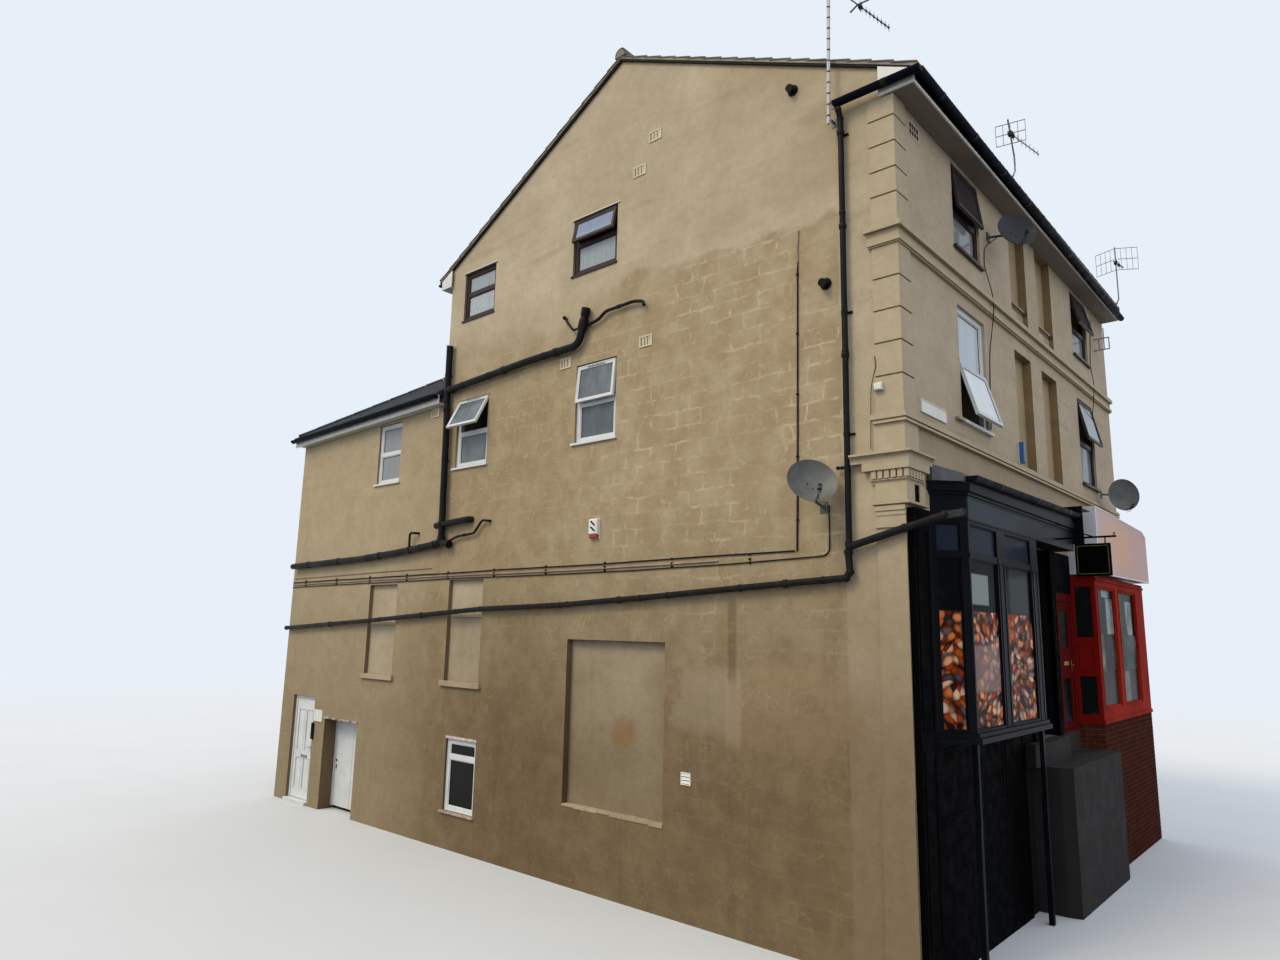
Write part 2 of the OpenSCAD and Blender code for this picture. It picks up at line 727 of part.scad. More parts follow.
module plain_rear_door() {
    c = cellar_door;
    g = leaf_gap;
    color("white") placed() side_at(c[1] - 50 - g, c[2] + 20 + g) translate([0, door_recess, 0])
        cube([850 - 2 * g, leaf_thickness, c[3] - c[2] - 70 - 2 * g]);
    z = c[2] + 200;
    placed() hinge_barrels(door_recess + leaf_thickness, c[1] - 900 + g, [z, z + 600, z + 1200]);
}

// Plan of the bay and its fascia, grown outwards by o
module bay_plan(o, right) {
    p = bay_projection;
    polygon([[650 - 1.414 * o, 0], [970 - 0.414 * o, -p - o], [right + o, -p - o], [right + o, 0]]);
}

module bay_window_plan(o) {
    p = bay_projection;
    polygon([[650 - 1.414 * o, 0], [970 - 0.414 * o, -p - o], [bay_right + 0.414 * o, -p - o],
        [bay_right + p + 1.414 * o, 0]]);
}

// Sheet roof of the bay, falling to its gutter
module bay_roof() {
    color("slategray") placed() intersection() {
        translate([0, 0, 5440]) linear_extrude(400) bay_plan(100, fascia_right - 100);
        along_front(580, fascia_right) polygon([[-328, 5440], [0, 5440], [0, 5655], [-328, 5540]]);
    }
}

module shop_fascia() {
    p = bay_projection;
    color("midnightblue") placed() {
        // board over the windows, with its lower edge rail
        translate([0, 0, 5008]) linear_extrude(282) difference() {
            bay_plan(0, fascia_right);
            polygon([[760, 1], [1010, 60 - p], [fascia_right - 60, 60 - p], [fascia_right - 60, 1]]);
        }
        translate([0, 0, 4990]) linear_extrude(18) bay_plan(12, fascia_right - 12);
        // cornice
        translate([0, 0, 5290]) linear_extrude(40) bay_plan(25, fascia_right - 25);
        translate([0, 0, 5330]) linear_extrude(110) bay_plan(55, fascia_right - 55);
        // end board and the cover plate behind it
        box([fascia_right, -480, 5100], [fascia_right + 25, 0, 5700]);
        box([fascia_right + 25, -420, 5690], [6150, -230, 5702]);
    }
}

// A hole in the cant of the bay: its own x runs along the cant from the wall
module cant_hole(z0, z1) {
    translate([650, 0, z0]) rotate([0, 0, -45]) translate([60, -150, 0]) cube([292, 300, z1 - z0]);
    translate([bay_right + bay_projection, 0, z0]) rotate([0, 0, -135]) translate([60, -150, 0])
        cube([292, 300, z1 - z0]);
}

module shop_window_frame() {
    p = bay_projection;
    color("midnightblue") placed() {
        // sill board and moulded edge, cut square where they meet the pier by the door
        intersection() {
            union() {
                translate([0, 0, bay_sill]) linear_extrude(60) bay_window_plan(60);
                translate([0, 0, bay_sill + 60]) linear_extrude(50) bay_window_plan(30);
            }
            box([500, -500, bay_sill - 10], [bay_right + p + 1, 10, bay_sill + 200]);
        }
        difference() {
            translate([0, 0, bay_sill + 110]) linear_extrude(4990 - bay_sill - 110) bay_window_plan(0);
            translate([0, 0, bay_sill + 109]) linear_extrude(head_level) polygon([
                [755, 1], [1010, -p + 80], [bay_right - 40, -p + 80], [bay_right + p - 105, 1]]);
            for (z = [[2580, 4540], [4615, 4950]]) {
                box([1005, -p - 1, z[0]], [1925, -p + 100, z[1]]);
                box([2210, -p - 1, z[0]], [3240, -p + 100, z[1]]);
                cant_hole(z[0], z[1]);
            }
        }
        // legs with their feet
        for (x = [975, 3360]) {
            box([x - 27, -p, 0], [x + 27, -p + 55, bay_sill]);
            box([x - 55, -p - 5, 0], [x - 27, -p + 60, 1560]);
        }
    }
}

module shop_glass() {
    p = bay_projection;
    color("lightblue") placed() {
        for (z = [[2580, 4540], [4615, 4950]]) {
            h = z[1] - z[0];
            box([1005, -p + 30, z[0]], [1925, -p + 44, z[1]]);
            box([2210, -p + 30, z[0]], [3240, -p + 44, z[1]]);
            translate([650, 0, z[0]]) rotate([0, 0, -45]) translate([60, 30, 0]) cube([292, 14, h]);
            translate([bay_right + p, 0, z[0]]) rotate([0, 0, -135]) translate([60, -44, 0])
                cube([292, 14, h]);
        }
        // shop door
        box([4200, 130, 3000], [4940, 144, 4500]);
        // red shop front and its cant
        box([6660, -290, 2525], [7800, -276, 4500]);
        box([8080, -290, 2525], [9370, -276, 4500]);
        translate([6280, 0, 0]) rotate([0, 0, red_cant_angle]) {
            translate([60, 25, 2420]) cube([277, 14, 630]);
            translate([60, 25, 3650]) cube([277, 14, 850]);
        }
    }
}

// Black boarding: the pilasters, the panel under the bay and the piers beside the doors
module shop_panelling() {
    d = red_door_at;
    color("black") placed() {
        box([0, -80, 0], [420, 0, 4985]);
        box([0, -92, 4985], [425, 0, 5050]);
        box([195, -14, 5129], [325, 0, 5339]);
        box([430, -30, 0], [3490, 0, bay_sill]);
        box([3490, -30, d[2]], [3860, 0, bay_sill]);
        box([3862, -60, d[2]], [4090, 0, 4988]);
        box([5060, -60, d[2]], [d[0], 0, 4988]);
        box([d[0], -20, d[3]], [d[1], 60, 4988]);
        box([d[1], -20, d[2]], [d[1] + 28, 0, 4980]);
    }
}

module shop_door() {
    color("midnightblue") placed() difference() {
        box([4040, 100, shop_floor], [5100, 170, head_level]);
        box([4200, 50, 3000], [4940, 200, 4500]);
        box([4200, 50, 2450], [4940, 115, 2850]);
    }
}

module entrance_step() {
    d = red_door_at;
    color("gray") placed() {
        linear_extrude(1900) polygon([[3800, -370], [3850, -530], [6500, -530], [6500, -335],
            [6280, -5], [6280, 0], [3800, 0]]);
        translate([0, 0, 1900]) linear_extrude(d[2] - 1900)
            polygon([[3500, -160], [4150, -200], [5275, -130], [5275, -22], [6250, -22],
                [6250, 0], [3500, 0]]);
    }
}

// Plan of the red shop front, grown outwards by o
module red_front_plan(o) {
    polygon([[6280, 0], [6500 - o * 0.55, -330 - o], [front_width, -330 - o], [front_width, 0]]);
}

module red_shop_front() {
    d = red_door_at;
    color("firebrick") placed() {
        // timber front on its sill rail
        translate([0, 0, 2290]) linear_extrude(60) red_front_plan(20);
        difference() {
            box([6500, -330, 2350], [front_width, -250, 4690]);
            box([6660, -400, 2525], [7800, -200, 4500]);
            box([8080, -400, 2525], [9370, -200, 4500]);
        }
        // canted side with a glazed panel over and under a solid one
        translate([6280, 0, 0]) rotate([0, 0, red_cant_angle]) difference() {
            translate([0, 0, 2350]) cube([396, 60, 2340]);
            translate([60, -1, 2420]) cube([277, 62, 630]);
            translate([60, -1, 3650]) cube([277, 62, 850]);
        }
        // frame round the red door
        translate([d[0], -20, d[2]]) door_frame(d[1] - d[0], d[3] - d[2], 130, 90);
        box([d[0] + 130, -20, d[2]], [d[1] - 130, 70, d[2] + red_threshold]);
    }
}

module brick_riser() {
    color("brown") placed() linear_extrude(2290) polygon([[6290, 0], [6508, -326],
        [front_width, -326], [front_width, 0]]);
}

// Sign board with its closed ends, soffit and sloping cover
module red_shop_fascia() {
    x0 = 6300;
    low = board_top - 1120;
    color("peachpuff") placed() {
        translate([0, -440, 0]) rotate([90, 0, 0]) linear_extrude(24) polygon([
            [x0, low], [front_width, low + 45], [front_width, board_top - 190],
            [front_width - 300, board_top - 90], [x0, board_top]]);
        box([x0, -440, low], [x0 + 25, 0, board_top]);
        box([front_width - 25, -440, low + 45], [front_width, 0, board_top - 190]);
        box([x0 + 25, -440, low + 45], [front_width - 25, 0, low + 65]);
        box([x0 + 25, -440, board_top - 215], [front_width - 25, 0, board_top - 190]);
    }
}

module red_door() {
    d = red_door_at;
    g = leaf_gap;
    w = d[1] - d[0] - 260 - 2 * g;
    z0 = d[2] + red_threshold + g;
    color("firebrick") placed() {
        translate([d[0] + 130 + g, -12, z0]) difference() {
            cube([w, leaf_thickness, d[3] - 130 - g - z0]);
            for (z = red_panes) translate([150, -1, z[0]]) cube([w - 280, leaf_thickness + 2, z[1]]);
        }
        hinge_barrels(d[0] + 130 + g, leaf_thickness - 12, [d[2] + 200, d[2] + 950, d[2] + 1700]);
    }
}

module red_door_glass() {
    d = red_door_at;
    g = leaf_gap;
    color("lightblue") placed() for (z = red_panes)
        translate([d[0] + 280 + g, 5, d[2] + red_threshold + g + z[0]])
            cube([d[1] - d[0] - 540 - 2 * g, 14, z[1]]);
}

module hanging_sign() {
    color("black") placed() {
        box([4518, -1120, 5086], [4544, -bay_projection, 5112]);
        box([4515, -1038, 4536], [4548, -566, 5006]);
        for (y = [-980, -640]) box([4525, y, 5006], [4540, y + 15, 5086]);
    }
}

// A dish hollowed upwards, with the receiver on an arm from its lower rim
module dish(diameter) {
    r = diameter / 2;
    steps = [0 : 8];
    rotate_extrude($fn = 64) polygon(concat(
        [for (i = steps) [r * i / 8, pow(r * i / 8, 2) / (2.4 * r)]],
        [for (i = steps) [r * (8 - i) / 8, pow(r * (8 - i) / 8, 2) / (2.4 * r) + 6]]));
    pipe_run([[r - 8, 0, r / 2.4], [r * 0.94, 0, 320]], 9);
    translate([r * 0.94, 0, 300]) rotate([0, -35, 0]) cylinder(r = 29, h = 95, $fn = 24);
}

module satellite_dishes() {
    color("gray") placed() {
        // on the side wall
        translate([-300, 1051, 5345]) rotate([0, 65, -135]) dish(604);
        pipe_run([[-290, 1061, 5341], [-240, 1050, 5200], [-40, 1030, 5130]], 17);
        box([-12, 985, 5060], [0, 1085, 5200]);
        box([-40, 1010, 5105], [-12, 1050, 5155]);
        // on the front wall
        for (d = [[3252, 9473, 75, 570, 3215, 9520], [8720, 6305, 88, 600, 8880, 6385]]) {
            translate([d[0], -350, d[1]]) rotate([0, d[2], -135]) dish(d[3]);
            pipe_run([[d[0] + 10, -340, d[1]], [d[4], -160, d[5] - 20], [d[4], -30, d[5]]], 16);
            box([d[4] - 60, -14, d[5] - 70], [d[4] + 60, 0, d[5] + 70]);
        }
    }
}

// A reflector grid standing at the origin, its own x across it; bars counts from the origin
module reflector(width, height, bars) {
    for (z = [-height / 2, 0, height / 2])
        translate([0, 0, z]) rotate([0, 90, 0]) cylinder(r = 6, h = width, $fn = 16);
    for (i = bars)
        translate([i * width / 4, 0, -height / 2]) cylinder(r = 4, h = height, $fn = 16);
}

// A pole's foot clamped to the front edge of the roof
module roof_edge_clamp(x) {
    box([x - 8, -372, 10396], [x + 8, -360, 10446]);
}

module aerials() {
    color("silver") placed() {
        // mast on the gable with its brackets, boom and bowed reflector
        translate([-150, 788, 10034]) rotate([1.1, 0, 0]) cylinder(r = 22, h = 2110, $fn = 24);
        for (z = [10095, 10365]) {
            box([-150, 770, z], [0, 792, z + 26]);
            box([-8, 740, z - 40], [0, 822, z + 66]);
        }
        translate([-150, 745, 12050]) rotate([0, 90, -10.5]) cylinder(r = 9, h = 1310, $fn = 16);
        pipe_run([[456, 486, 12050], [445, 635, 12050], [510, 770, 12050]], 12);
        for (i = [0 : 7])
            translate([540 + i * 84, 617 - i * 15.6, 11990]) cylinder(r = 4, h = 120, $fn = 16);
        // cranked pole on the front eaves
        roof_edge_clamp(3330);
        pipe_run([[3330, -378, 10440], [3560, -345, 10640], [3619, -330, 10780],
            [3609, -330, 10929], [3405, -330, 11422]], 12);
        translate([3440, -130, 11230]) rotate([0, 0, -80]) reflector(420, 340, [0 : 4]);
        translate([3440, -327, 11230]) rotate([0, 90, -10]) cylinder(r = 8, h = 930, $fn = 16);
        for (i = [0 : 6])
            translate([3570 + i * 124, -350 - i * 22, 11170]) cylinder(r = 4, h = 120, $fn = 16);
        // pole with a folded reflector at the party wall
        roof_edge_clamp(9700);
        pipe_run([[9700, -378, 10430], [9655, -430, 10520], [9655, -430, 11630]], 12);
        for (a = [70, -60]) translate([9655, -430, 11380]) rotate([0, 0, a]) reflector(420, 470, [1 : 4]);
        translate([9555, -412, 11300]) rotate([0, 90, -10]) cylinder(r = 14, h = 450, $fn = 16);
        // bracket frame under the front eaves
        for (z = [9350, 9585]) box([9190, -290, z], [9205, 0, z + 18]);
        for (y = [-290, -200, -110]) box([9190, y, 9350], [9205, y + 16, 9603]);
        box([9190, -200, 9603], [9205, -184, 9810]);
    }
}

module wall_vents() {
    color("tan") placed() {
        for (v = [[3840, 11180], [4147, 10696], [3949, 7869], [5669, 7862], [9213, 7596]])
            box([-14, v[0] - 125, v[1] - 88], [0, v[0] + 125, v[1] + 88]);
        box([-18, 3020, 1665], [0, 3180, 1822]);
        box([456, -14, 9881], [765, 0, 10081]);
    }
}

module wall_boxes() {
    color("white") placed() {
        // alarm boxes and lamp
        box([-72, 4783, 4963], [0, 4985, 5270]);
        box([4046, -82, 6205], [4138, 0, 6550]);
        box([-80, 209, 6440], [-quoin_depth, 325, 6545]);
        // blank name board, letter plate and entry keypad
        box([496, -20, 6262], [1254, 0, 6425]);
        box([-16, 12469, 1666], [0, 12794, 1896]);
        box([-48, 12762, 1306], [0, 12815, 1629]);
    }
}

side_wall();
front_wall();
front_wall_piers();
party_wall();
rear_wall();
extension_upper_wall();
extension_lower_wall();
extension_yard_walls();
lower_floor();
upper_floors();
front_roof_slope();
rear_roof_slope();
ridge_tiles();
extension_roof();
verge_undercloak();
eaves_boards();
front_fascia();
front_soffit();
gutters();
downpipe();
soil_pipes();
cable_runs();
string_courses();
corner_quoins();
corner_capital();
corner_pilaster();
white_window_frames();
brown_window_frames();
window_glass();
window_sills();
rear_door_frames();
panelled_rear_door();
plain_rear_door();
bay_roof();
shop_fascia();
shop_window_frame();
shop_glass();
shop_panelling();
shop_door();
entrance_step();
red_shop_front();
brick_riser();
red_shop_fascia();
red_door();
red_door_glass();
hanging_sign();
satellite_dishes();
aerials();
wall_vents();
wall_boxes();
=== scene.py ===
import json
import math
import random

import bmesh
import bpy
from mathutils import Matrix, Vector


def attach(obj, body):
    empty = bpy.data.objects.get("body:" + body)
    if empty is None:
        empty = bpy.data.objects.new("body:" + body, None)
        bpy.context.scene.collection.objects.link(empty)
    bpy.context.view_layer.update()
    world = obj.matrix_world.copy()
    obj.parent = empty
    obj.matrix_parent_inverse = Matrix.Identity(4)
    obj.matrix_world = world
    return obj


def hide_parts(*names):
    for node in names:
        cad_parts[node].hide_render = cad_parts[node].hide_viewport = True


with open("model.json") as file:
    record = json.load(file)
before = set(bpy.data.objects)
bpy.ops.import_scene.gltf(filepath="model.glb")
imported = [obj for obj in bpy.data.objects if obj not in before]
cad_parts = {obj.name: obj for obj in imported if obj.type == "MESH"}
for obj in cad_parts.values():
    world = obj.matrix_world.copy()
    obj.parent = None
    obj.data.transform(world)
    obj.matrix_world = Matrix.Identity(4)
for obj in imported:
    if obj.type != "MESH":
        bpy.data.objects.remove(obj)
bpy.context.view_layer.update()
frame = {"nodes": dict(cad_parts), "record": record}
RANDOM = random.Random(7)
BUILDING, PANELLED, PLAIN, RED = "building", "panelled_door_leaf", "plain_door_leaf", "red_door_leaf"

# The foot of the walls' street corner, seen from the origin of the frame. All places below are in metres from
# it: x along the shop front, y back along the side street, z up from the lowest ground.
CORNER = Vector((-4.706, -6.650, 0))

# Camera
CAMERA_PLACE = CORNER + Vector((-8.978, -3.964, 3.628))
CAMERA_HEADING, CAMERA_PITCH, CAMERA_ROLL = math.radians(48.39), math.radians(10.12), math.radians(1.21)
FOCAL_PIXELS, IMAGE_WIDTH, SENSOR_WIDTH = 841.0, 1280, 36.0


def add_object(name, data):
    made = bpy.data.objects.new(name, data)
    bpy.context.scene.collection.objects.link(made)
    return made


def add_camera():
    a, b, c = CAMERA_HEADING, CAMERA_PITCH, CAMERA_ROLL
    forward = Vector((math.sin(a) * math.cos(b), math.cos(a) * math.cos(b), math.sin(b)))
    level_right = Vector((math.cos(a), -math.sin(a), 0))
    level_up = level_right.cross(forward)
    right = level_right * math.cos(c) + level_up * math.sin(c)
    up = level_up * math.cos(c) - level_right * math.sin(c)
    data = bpy.data.cameras.new("camera")
    data.sensor_width = SENSOR_WIDTH
    data.lens = FOCAL_PIXELS * SENSOR_WIDTH / IMAGE_WIDTH
    data.clip_end = 500
    camera = add_object("camera", data)
    camera.matrix_world = Matrix.Translation(CAMERA_PLACE) @ Matrix((right, up, -forward)).transposed().to_4x4()
    bpy.context.scene.camera = camera


add_camera()

# Materials, each kept in LOOKS by its name. A tone is a colour given from 0 to 255.
LOOKS = {}


def rgb(red, green, blue):
    """The linear colour of a tone."""
    return tuple(((c / 255 + 0.055) / 1.055) ** 2.4 if c > 10 else c / 255 / 12.92 for c in (red, green, blue))


class Nodes:
    """A material's node tree, built with short calls. Its tint is the colour laid so far."""

    def __init__(self, name):
        self.name, self.material = name, bpy.data.materials.new(name)
        self.material.use_nodes = True
        self.tree = self.material.node_tree
        self.tree.nodes.clear()
        self.shader = self.tree.nodes.new("ShaderNodeBsdfPrincipled")
        self.link(self.shader.outputs[0], self.tree.nodes.new("ShaderNodeOutputMaterial").inputs[0])
        texture = self.tree.nodes.new("ShaderNodeTexCoord")
        self.place, self.normal = texture.outputs["Object"], texture.outputs["Normal"]

    def link(self, source, target):
        if isinstance(source, bpy.types.NodeSocket):
            self.tree.links.new(source, target)
        else:
            target.default_value = source

    def node(self, kind, inputs, output=0, **settings):
        made = self.tree.nodes.new("ShaderNode" + kind)
        for key, value in settings.items():
            setattr(made, key, value)
        for key, value in inputs.items():
            self.link(value, made.inputs[key])
        return made.outputs[output]

    def noise(self, scale, detail=4, rough=0.55, stretch=None, warp=0.0):
        place = self.node("Mapping", {"Vector": self.place, "Scale": stretch}) if stretch else self.place
        return self.node("TexNoise", {"Vector": place, "Scale": scale, "Detail": detail, "Roughness": rough,
                                      "Distortion": warp})

    def corner(self):
        """Metres from the street corner, as three values."""
        return self.axes(self.node("VectorMath", {0: self.place, 1: tuple(-CORNER)}, operation="ADD"))

    def axes(self, vector):
        split = self.tree.nodes.new("ShaderNodeSeparateXYZ")
        self.link(vector, split.inputs[0])
        return split.outputs[0], split.outputs[1], split.outputs[2]

    def math(self, operation, a, b=0.0):
        return self.node("Math", {0: a, 1: b}, operation=operation)

    def add(self, a, b):
        return self.math("ADD", a, b)

    def less(self, a, b):
        return self.math("SUBTRACT", a, b)

    def remap(self, value, low, high, to_low=0.0, to_high=1.0):
        return self.node("MapRange", {"Value": value, "From Min": low, "From Max": high, "To Min": to_low,
                                      "To Max": to_high}, interpolation_type="SMOOTHSTEP")

    def band(self, value, low, high, soft):
        """1 between low and high, falling to 0 outside them."""
        return self.times((value, low - soft, low), (value, high, high + soft, 1.0, 0.0))

    def times(self, *factors):
        """The product of the factors. A tuple stands for a band if it has four members, and else for a remap."""
        result = None
        for factor in factors:
            if isinstance(factor, tuple):
                factor = self.band(*factor) if len(factor) == 4 else self.remap(*factor)
            result = factor if result is None else self.math("MULTIPLY", result, factor)
        return result

    def mix(self, factor, a, b, blend="MIX"):
        made = self.tree.nodes.new("ShaderNodeMix")
        made.data_type = "RGBA"
        made.blend_type = blend
        self.link(factor, made.inputs[0])
        self.link((*a, 1) if isinstance(a, tuple) else a, made.inputs[6])
        self.link((*b, 1) if isinstance(b, tuple) else b, made.inputs[7])
        return made.outputs[2]

    def tones(self, value, a, b, low=0.35, high=0.65):
        """A colour that drifts from one tone to another as the value goes from low to high."""
        return self.mix(self.remap(value, low, high), rgb(*a), rgb(*b))

    def lay(self, tone, *factors):
        """Covers the tint with a tone or colour socket, as far as the product of the factors says."""
        color = rgb(*tone) if isinstance(tone, tuple) else tone
        self.tint = self.mix(self.times(*factors), self.tint, color)

    def shade(self, share, *factors):
        """Multiplies the tint by shares of red, green and blue, as far as the product of the factors says."""
        self.tint = self.mix(self.times(*factors), self.tint, share, "MULTIPLY")

    def ramp(self, value, stops):
        made = self.tree.nodes.new("ShaderNodeValToRGB")
        while len(made.color_ramp.elements) < len(stops):
            made.color_ramp.elements.new(0.5)
        for element, (position, tone) in zip(made.color_ramp.elements, stops):
            element.position, element.color = position, (*rgb(*tone), 1)
        self.link(value, made.inputs[0])
        return made.outputs[0]

    def brick_texture(self, u, v, width, height, gap, output, **colors):
        inputs = {"Vector": self.node("CombineXYZ", {0: u, 1: v}), "Scale": 1.0, "Mortar Size": gap,
                  "Mortar Smooth": 1.0, "Brick Width": width, "Row Height": height, **colors}
        return self.node("TexBrick", inputs, output)

    def joints(self, u, v, width, height, gap):
        """1 in the joints of blocks laid along u and v."""
        return self.brick_texture(u, v, width, height, gap, 1)

    def block_tints(self, u, v, width, height):
        """A random value from 0 to 1 for each block laid along u and v."""
        return self.brick_texture(u, v, width, height, 0.012, 0, Color1=(0, 0, 0, 1), Color2=(1, 1, 1, 1),
                                  Mortar=(0.3, 0.3, 0.3, 1))

    def bump(self, height, strength, distance, normal=None):
        inputs = {"Height": height, "Strength": strength, "Distance": distance}
        if normal is not None:
            inputs["Normal"] = normal
        return self.node("Bump", inputs)

    def finish(self, rough, normal, spec=0.5, **values):
        """Gives the shader the tint, roughness, bump and single values, and keeps the material in LOOKS."""
        inputs = {"Base Color": self.tint, "Roughness": rough, "Normal": normal, "Specular IOR Level": spec}
        for key, value in (inputs | values).items():
            self.link(value, self.shader.inputs[key])
        LOOKS[self.name] = self.material


def painted(name, color, rough=0.5, wear=0.15, scale=6.0, grain=80.0, depth=0.0006, dirt=None, **values):
    """Paint, plastic or metal with clouded colour, fine grain and dirt that has run down it."""
    n = Nodes(name)
    large = n.remap(n.noise(scale), 0.3, 0.7)
    fine = n.noise(grain, 2)
    dark = tuple(c * (1 - wear) for c in color)
    pale = tuple(min(1.0, c * (1 + wear * 0.6)) for c in color)
    n.tint = n.mix(n.remap(fine, 0.45, 0.75, 0, 0.25), n.mix(large, dark, pale), dark)
    if dirt:
        runs = n.remap(n.noise(3.0, 5, 0.65, stretch=(4, 4, 0.5)), 0.48, 0.72, 0, dirt[3])
        n.tint = n.mix(runs, n.tint, dirt[:3])
    n.finish(n.remap(large, 0, 1, rough * 0.85, min(1.0, rough * 1.15)), n.bump(fine, 0.4, depth), **values)


def wall_render(name, plain=False):
    """Painted render over blocks: smooth above, showing its joints in the middle, dirty and in painted shade
    towards the street.
    """
    n = Nodes(name)
    x, y, z = n.corner()
    facing_x, facing_y, facing_z = n.axes(n.normal)
    side, front = n.remap(facing_x, -0.5, -0.7), n.remap(facing_y, -0.4, -0.6)
    patch, drift, wander = n.noise(0.9, 5, 0.6), n.noise(1.7, 3), n.noise(5.0, 3, 0.6)
    fine = height = n.noise(26, 4, 0.6)
    n.tint = n.tones(patch, (172, 156, 129), (184, 168, 142), 0.35, 0.66)
    n.lay((171, 154, 126), (n.noise(0.25, 2), 0.42, 0.66, 0, 0.4))
    if plain:
        n.lay((172, 155, 127), 0.6)
    else:
        # old blocks faintly telling through the smooth coat, and soft lines where its bays met
        u = n.add(y, n.add(n.times(drift, 0.24), n.times(wander, 0.10)))
        v = n.add(z, n.add(n.times(patch, 0.16), n.times(wander, 0.08)))
        n.lay((161, 145, 117), n.block_tints(u, v, 0.52, 0.26), 0.30)
        n.lay((143, 126, 97), (n.noise(1.0, 3, 0.55, stretch=(0.4, 0.4, 3.4)), 0.60, 0.70, 0, 0.30))
        # thin coat over blocks, whose joints show as pale soft lines
        edge = n.add(n.times(n.less(drift, 0.5), 0.55), n.remap(y, 0.8, 7.5, 8.86, 9.22))
        thin = n.times(side, (n.less(edge, z), -0.04, n.remap(y, 4.2, 5.6, 0.06, 1.2)), (y, 0.74, 0.78))
        main = n.remap(y, 8.8, 9.1, 1.0, 0.45)
        joints = n.joints(u, v, 0.47, 0.235, 0.027)
        trowel = n.math("ABSOLUTE", n.less(n.noise(2.6, 2, 0.5, warp=1.2), 0.5))
        smooth, n.tint = n.tint, n.tones(n.noise(2.3, 4, 0.6), (151, 131, 100), (168, 150, 119), 0.34, 0.66)
        n.lay((149, 129, 98), n.block_tints(u, v, 0.47, 0.235), 0.45)
        worn, broken = n.noise(0.8, 3), n.noise(4.5, 3, 0.6)
        n.lay((184, 166, 135), joints, (worn, 0.38, 0.60, 0.15, 1.0), (broken, 0.40, 0.58), main,
              (z, 2.2, 6.4, 0.35, 1.0), (y, 3.4, 5.6, 1.0, 0.45))
        n.lay((182, 165, 135), (trowel, 0.0, 0.022, 0.55, 0.0), (wander, 0.45, 0.6))
        n.lay((171, 154, 124), (y, 8.8, 9.1, 0, 0.5))
        n.tint = n.mix(n.times(thin, 0.92), smooth, n.tint)
        n.shade((0.91, 0.89, 0.86), thin, (y, 6.6, 8.9, 2.0), (z, 8.0, 7.2))
        n.shade((0.92, 0.90, 0.86), side, (y, 0.75, 2.6, 0.6), (z, 9.0, 9.4))
        height = n.add(fine, n.times(joints, thin, main, 0.4))
        # repairs right of the blind doorway
        shifted = n.add(y, n.times(n.less(drift, 0.5), 0.9))
        n.lay((178, 163, 137), (shifted, 2.45, 3.20, 0.12), (z, 2.45, 3.05, 0.22), side, 0.8)
        n.lay((171, 147, 115), (shifted, 0.95, 2.2, 0.30), (z, 2.35, 3.10, 0.30), (drift, 0.3, 0.5), side, 0.7)
        n.lay((188, 171, 141), (y, 2.28, 2.44, 0.07), (z, 2.35, 2.95, 0.30), side, 0.75)
        chips = n.noise(17, 3, 0.7)
        n.lay((214, 206, 192), (y, 1.3, 2.2, 0.1), (z, 2.70, 2.88, 0.06), side, (chips, 0.60, 0.68, 0, 0.8))
        # panels of the blind openings, with a rusty smudge, and the bare, browner sides and heads of all openings,
        # with painted shade on the sides that face away from the light and under the heads
        inner = n.times(side, (x, 0.06, 0.068), (y, 3.2, 3.3))
        n.lay(n.tones(patch, (172, 156, 130), (182, 167, 142)), inner)
        rust = n.add(y, n.times(wander, 0.2))
        n.lay((176, 138, 98), inner, (rust, 4.30, 4.52, 0.16), (z, 2.1, 2.30, 0.16), 0.75)
        deep = n.times((x, -0.001, 0.004), (x, 0.30, 0.29), (y, 0.8, 0.9), (y, 14.1, 14.0))
        n.shade((0.66, 0.60, 0.50), deep, (facing_y, -0.5, -0.7))
        n.shade((0.42, 0.34, 0.26), deep, (facing_z, -0.5, -0.7))
    # dirt of the street, and painted shade where the lower wall sees less of the sky, both growing downwards
    rising = n.add(z, n.times(n.less(patch, 0.5), 1.3))
    n.shade((0.46, 0.42, 0.36), (rising, 5.8, 1.4), (y, 11.0, 6.4, 0.55, 1.0))
    n.shade((0.86, 0.85, 0.82), (n.noise(6.5, 5, 0.72), 0.38, 0.64), 0.55)
    if not plain:
        runs = n.noise(2.0, 5, 0.6, stretch=(3, 3, 0.22))
        n.shade((0.74, 0.72, 0.70), (runs, 0.54, 0.74), (z, 4.4, 3.9), side, 0.35)
        n.shade((0.58, 0.57, 0.54), (y, 2.34, 2.42, 0.05), (z, 4.15, 3.95), side, (z, 2.9, 3.1, 0.12, 0.75))
        # front: recesses browner towards the right and darker on their sides and heads, painted shadow under their
        # ledges, and dirt with painted shade under the lower string course
        recess = n.times((y, 0.004, 0.2, 0.004), (x, 4.0, 6.5, 0.1), (z, 6.1, 6.2))
        browner_right = n.math("MAXIMUM", n.band(x, 4.66, 4.96, 0.18), n.band(x, 6.07, 6.36, 0.18))
        n.shade((0.80, 0.72, 0.58), recess, browner_right, 0.85)
        n.shade((0.62, 0.56, 0.44), recess, (front, 0.5, 0.2), 0.85)
        # painted shadow under the recesses' ledges
        n.lay((84, 70, 52), recess, (y, 0.085, 0.08), (z, 8.795, 8.87, 0.015), 0.85)
        # dirt, and painted shade of the cornice, under the lower string course
        n.shade((0.74, 0.69, 0.64), front, (z, 6.35, 5.95), 0.8)
        n.shade((0.95, 0.93, 0.95), front, 0.7)
        # the shop's piers are painted black, and the same black is painted shade deep in the shop door's recess
        n.lay((8, 9, 11), (x, 0.43, 0.44), (y, 0.36, 0.35), (z, 5.0, 4.99), (x, 6.4, 6.3))
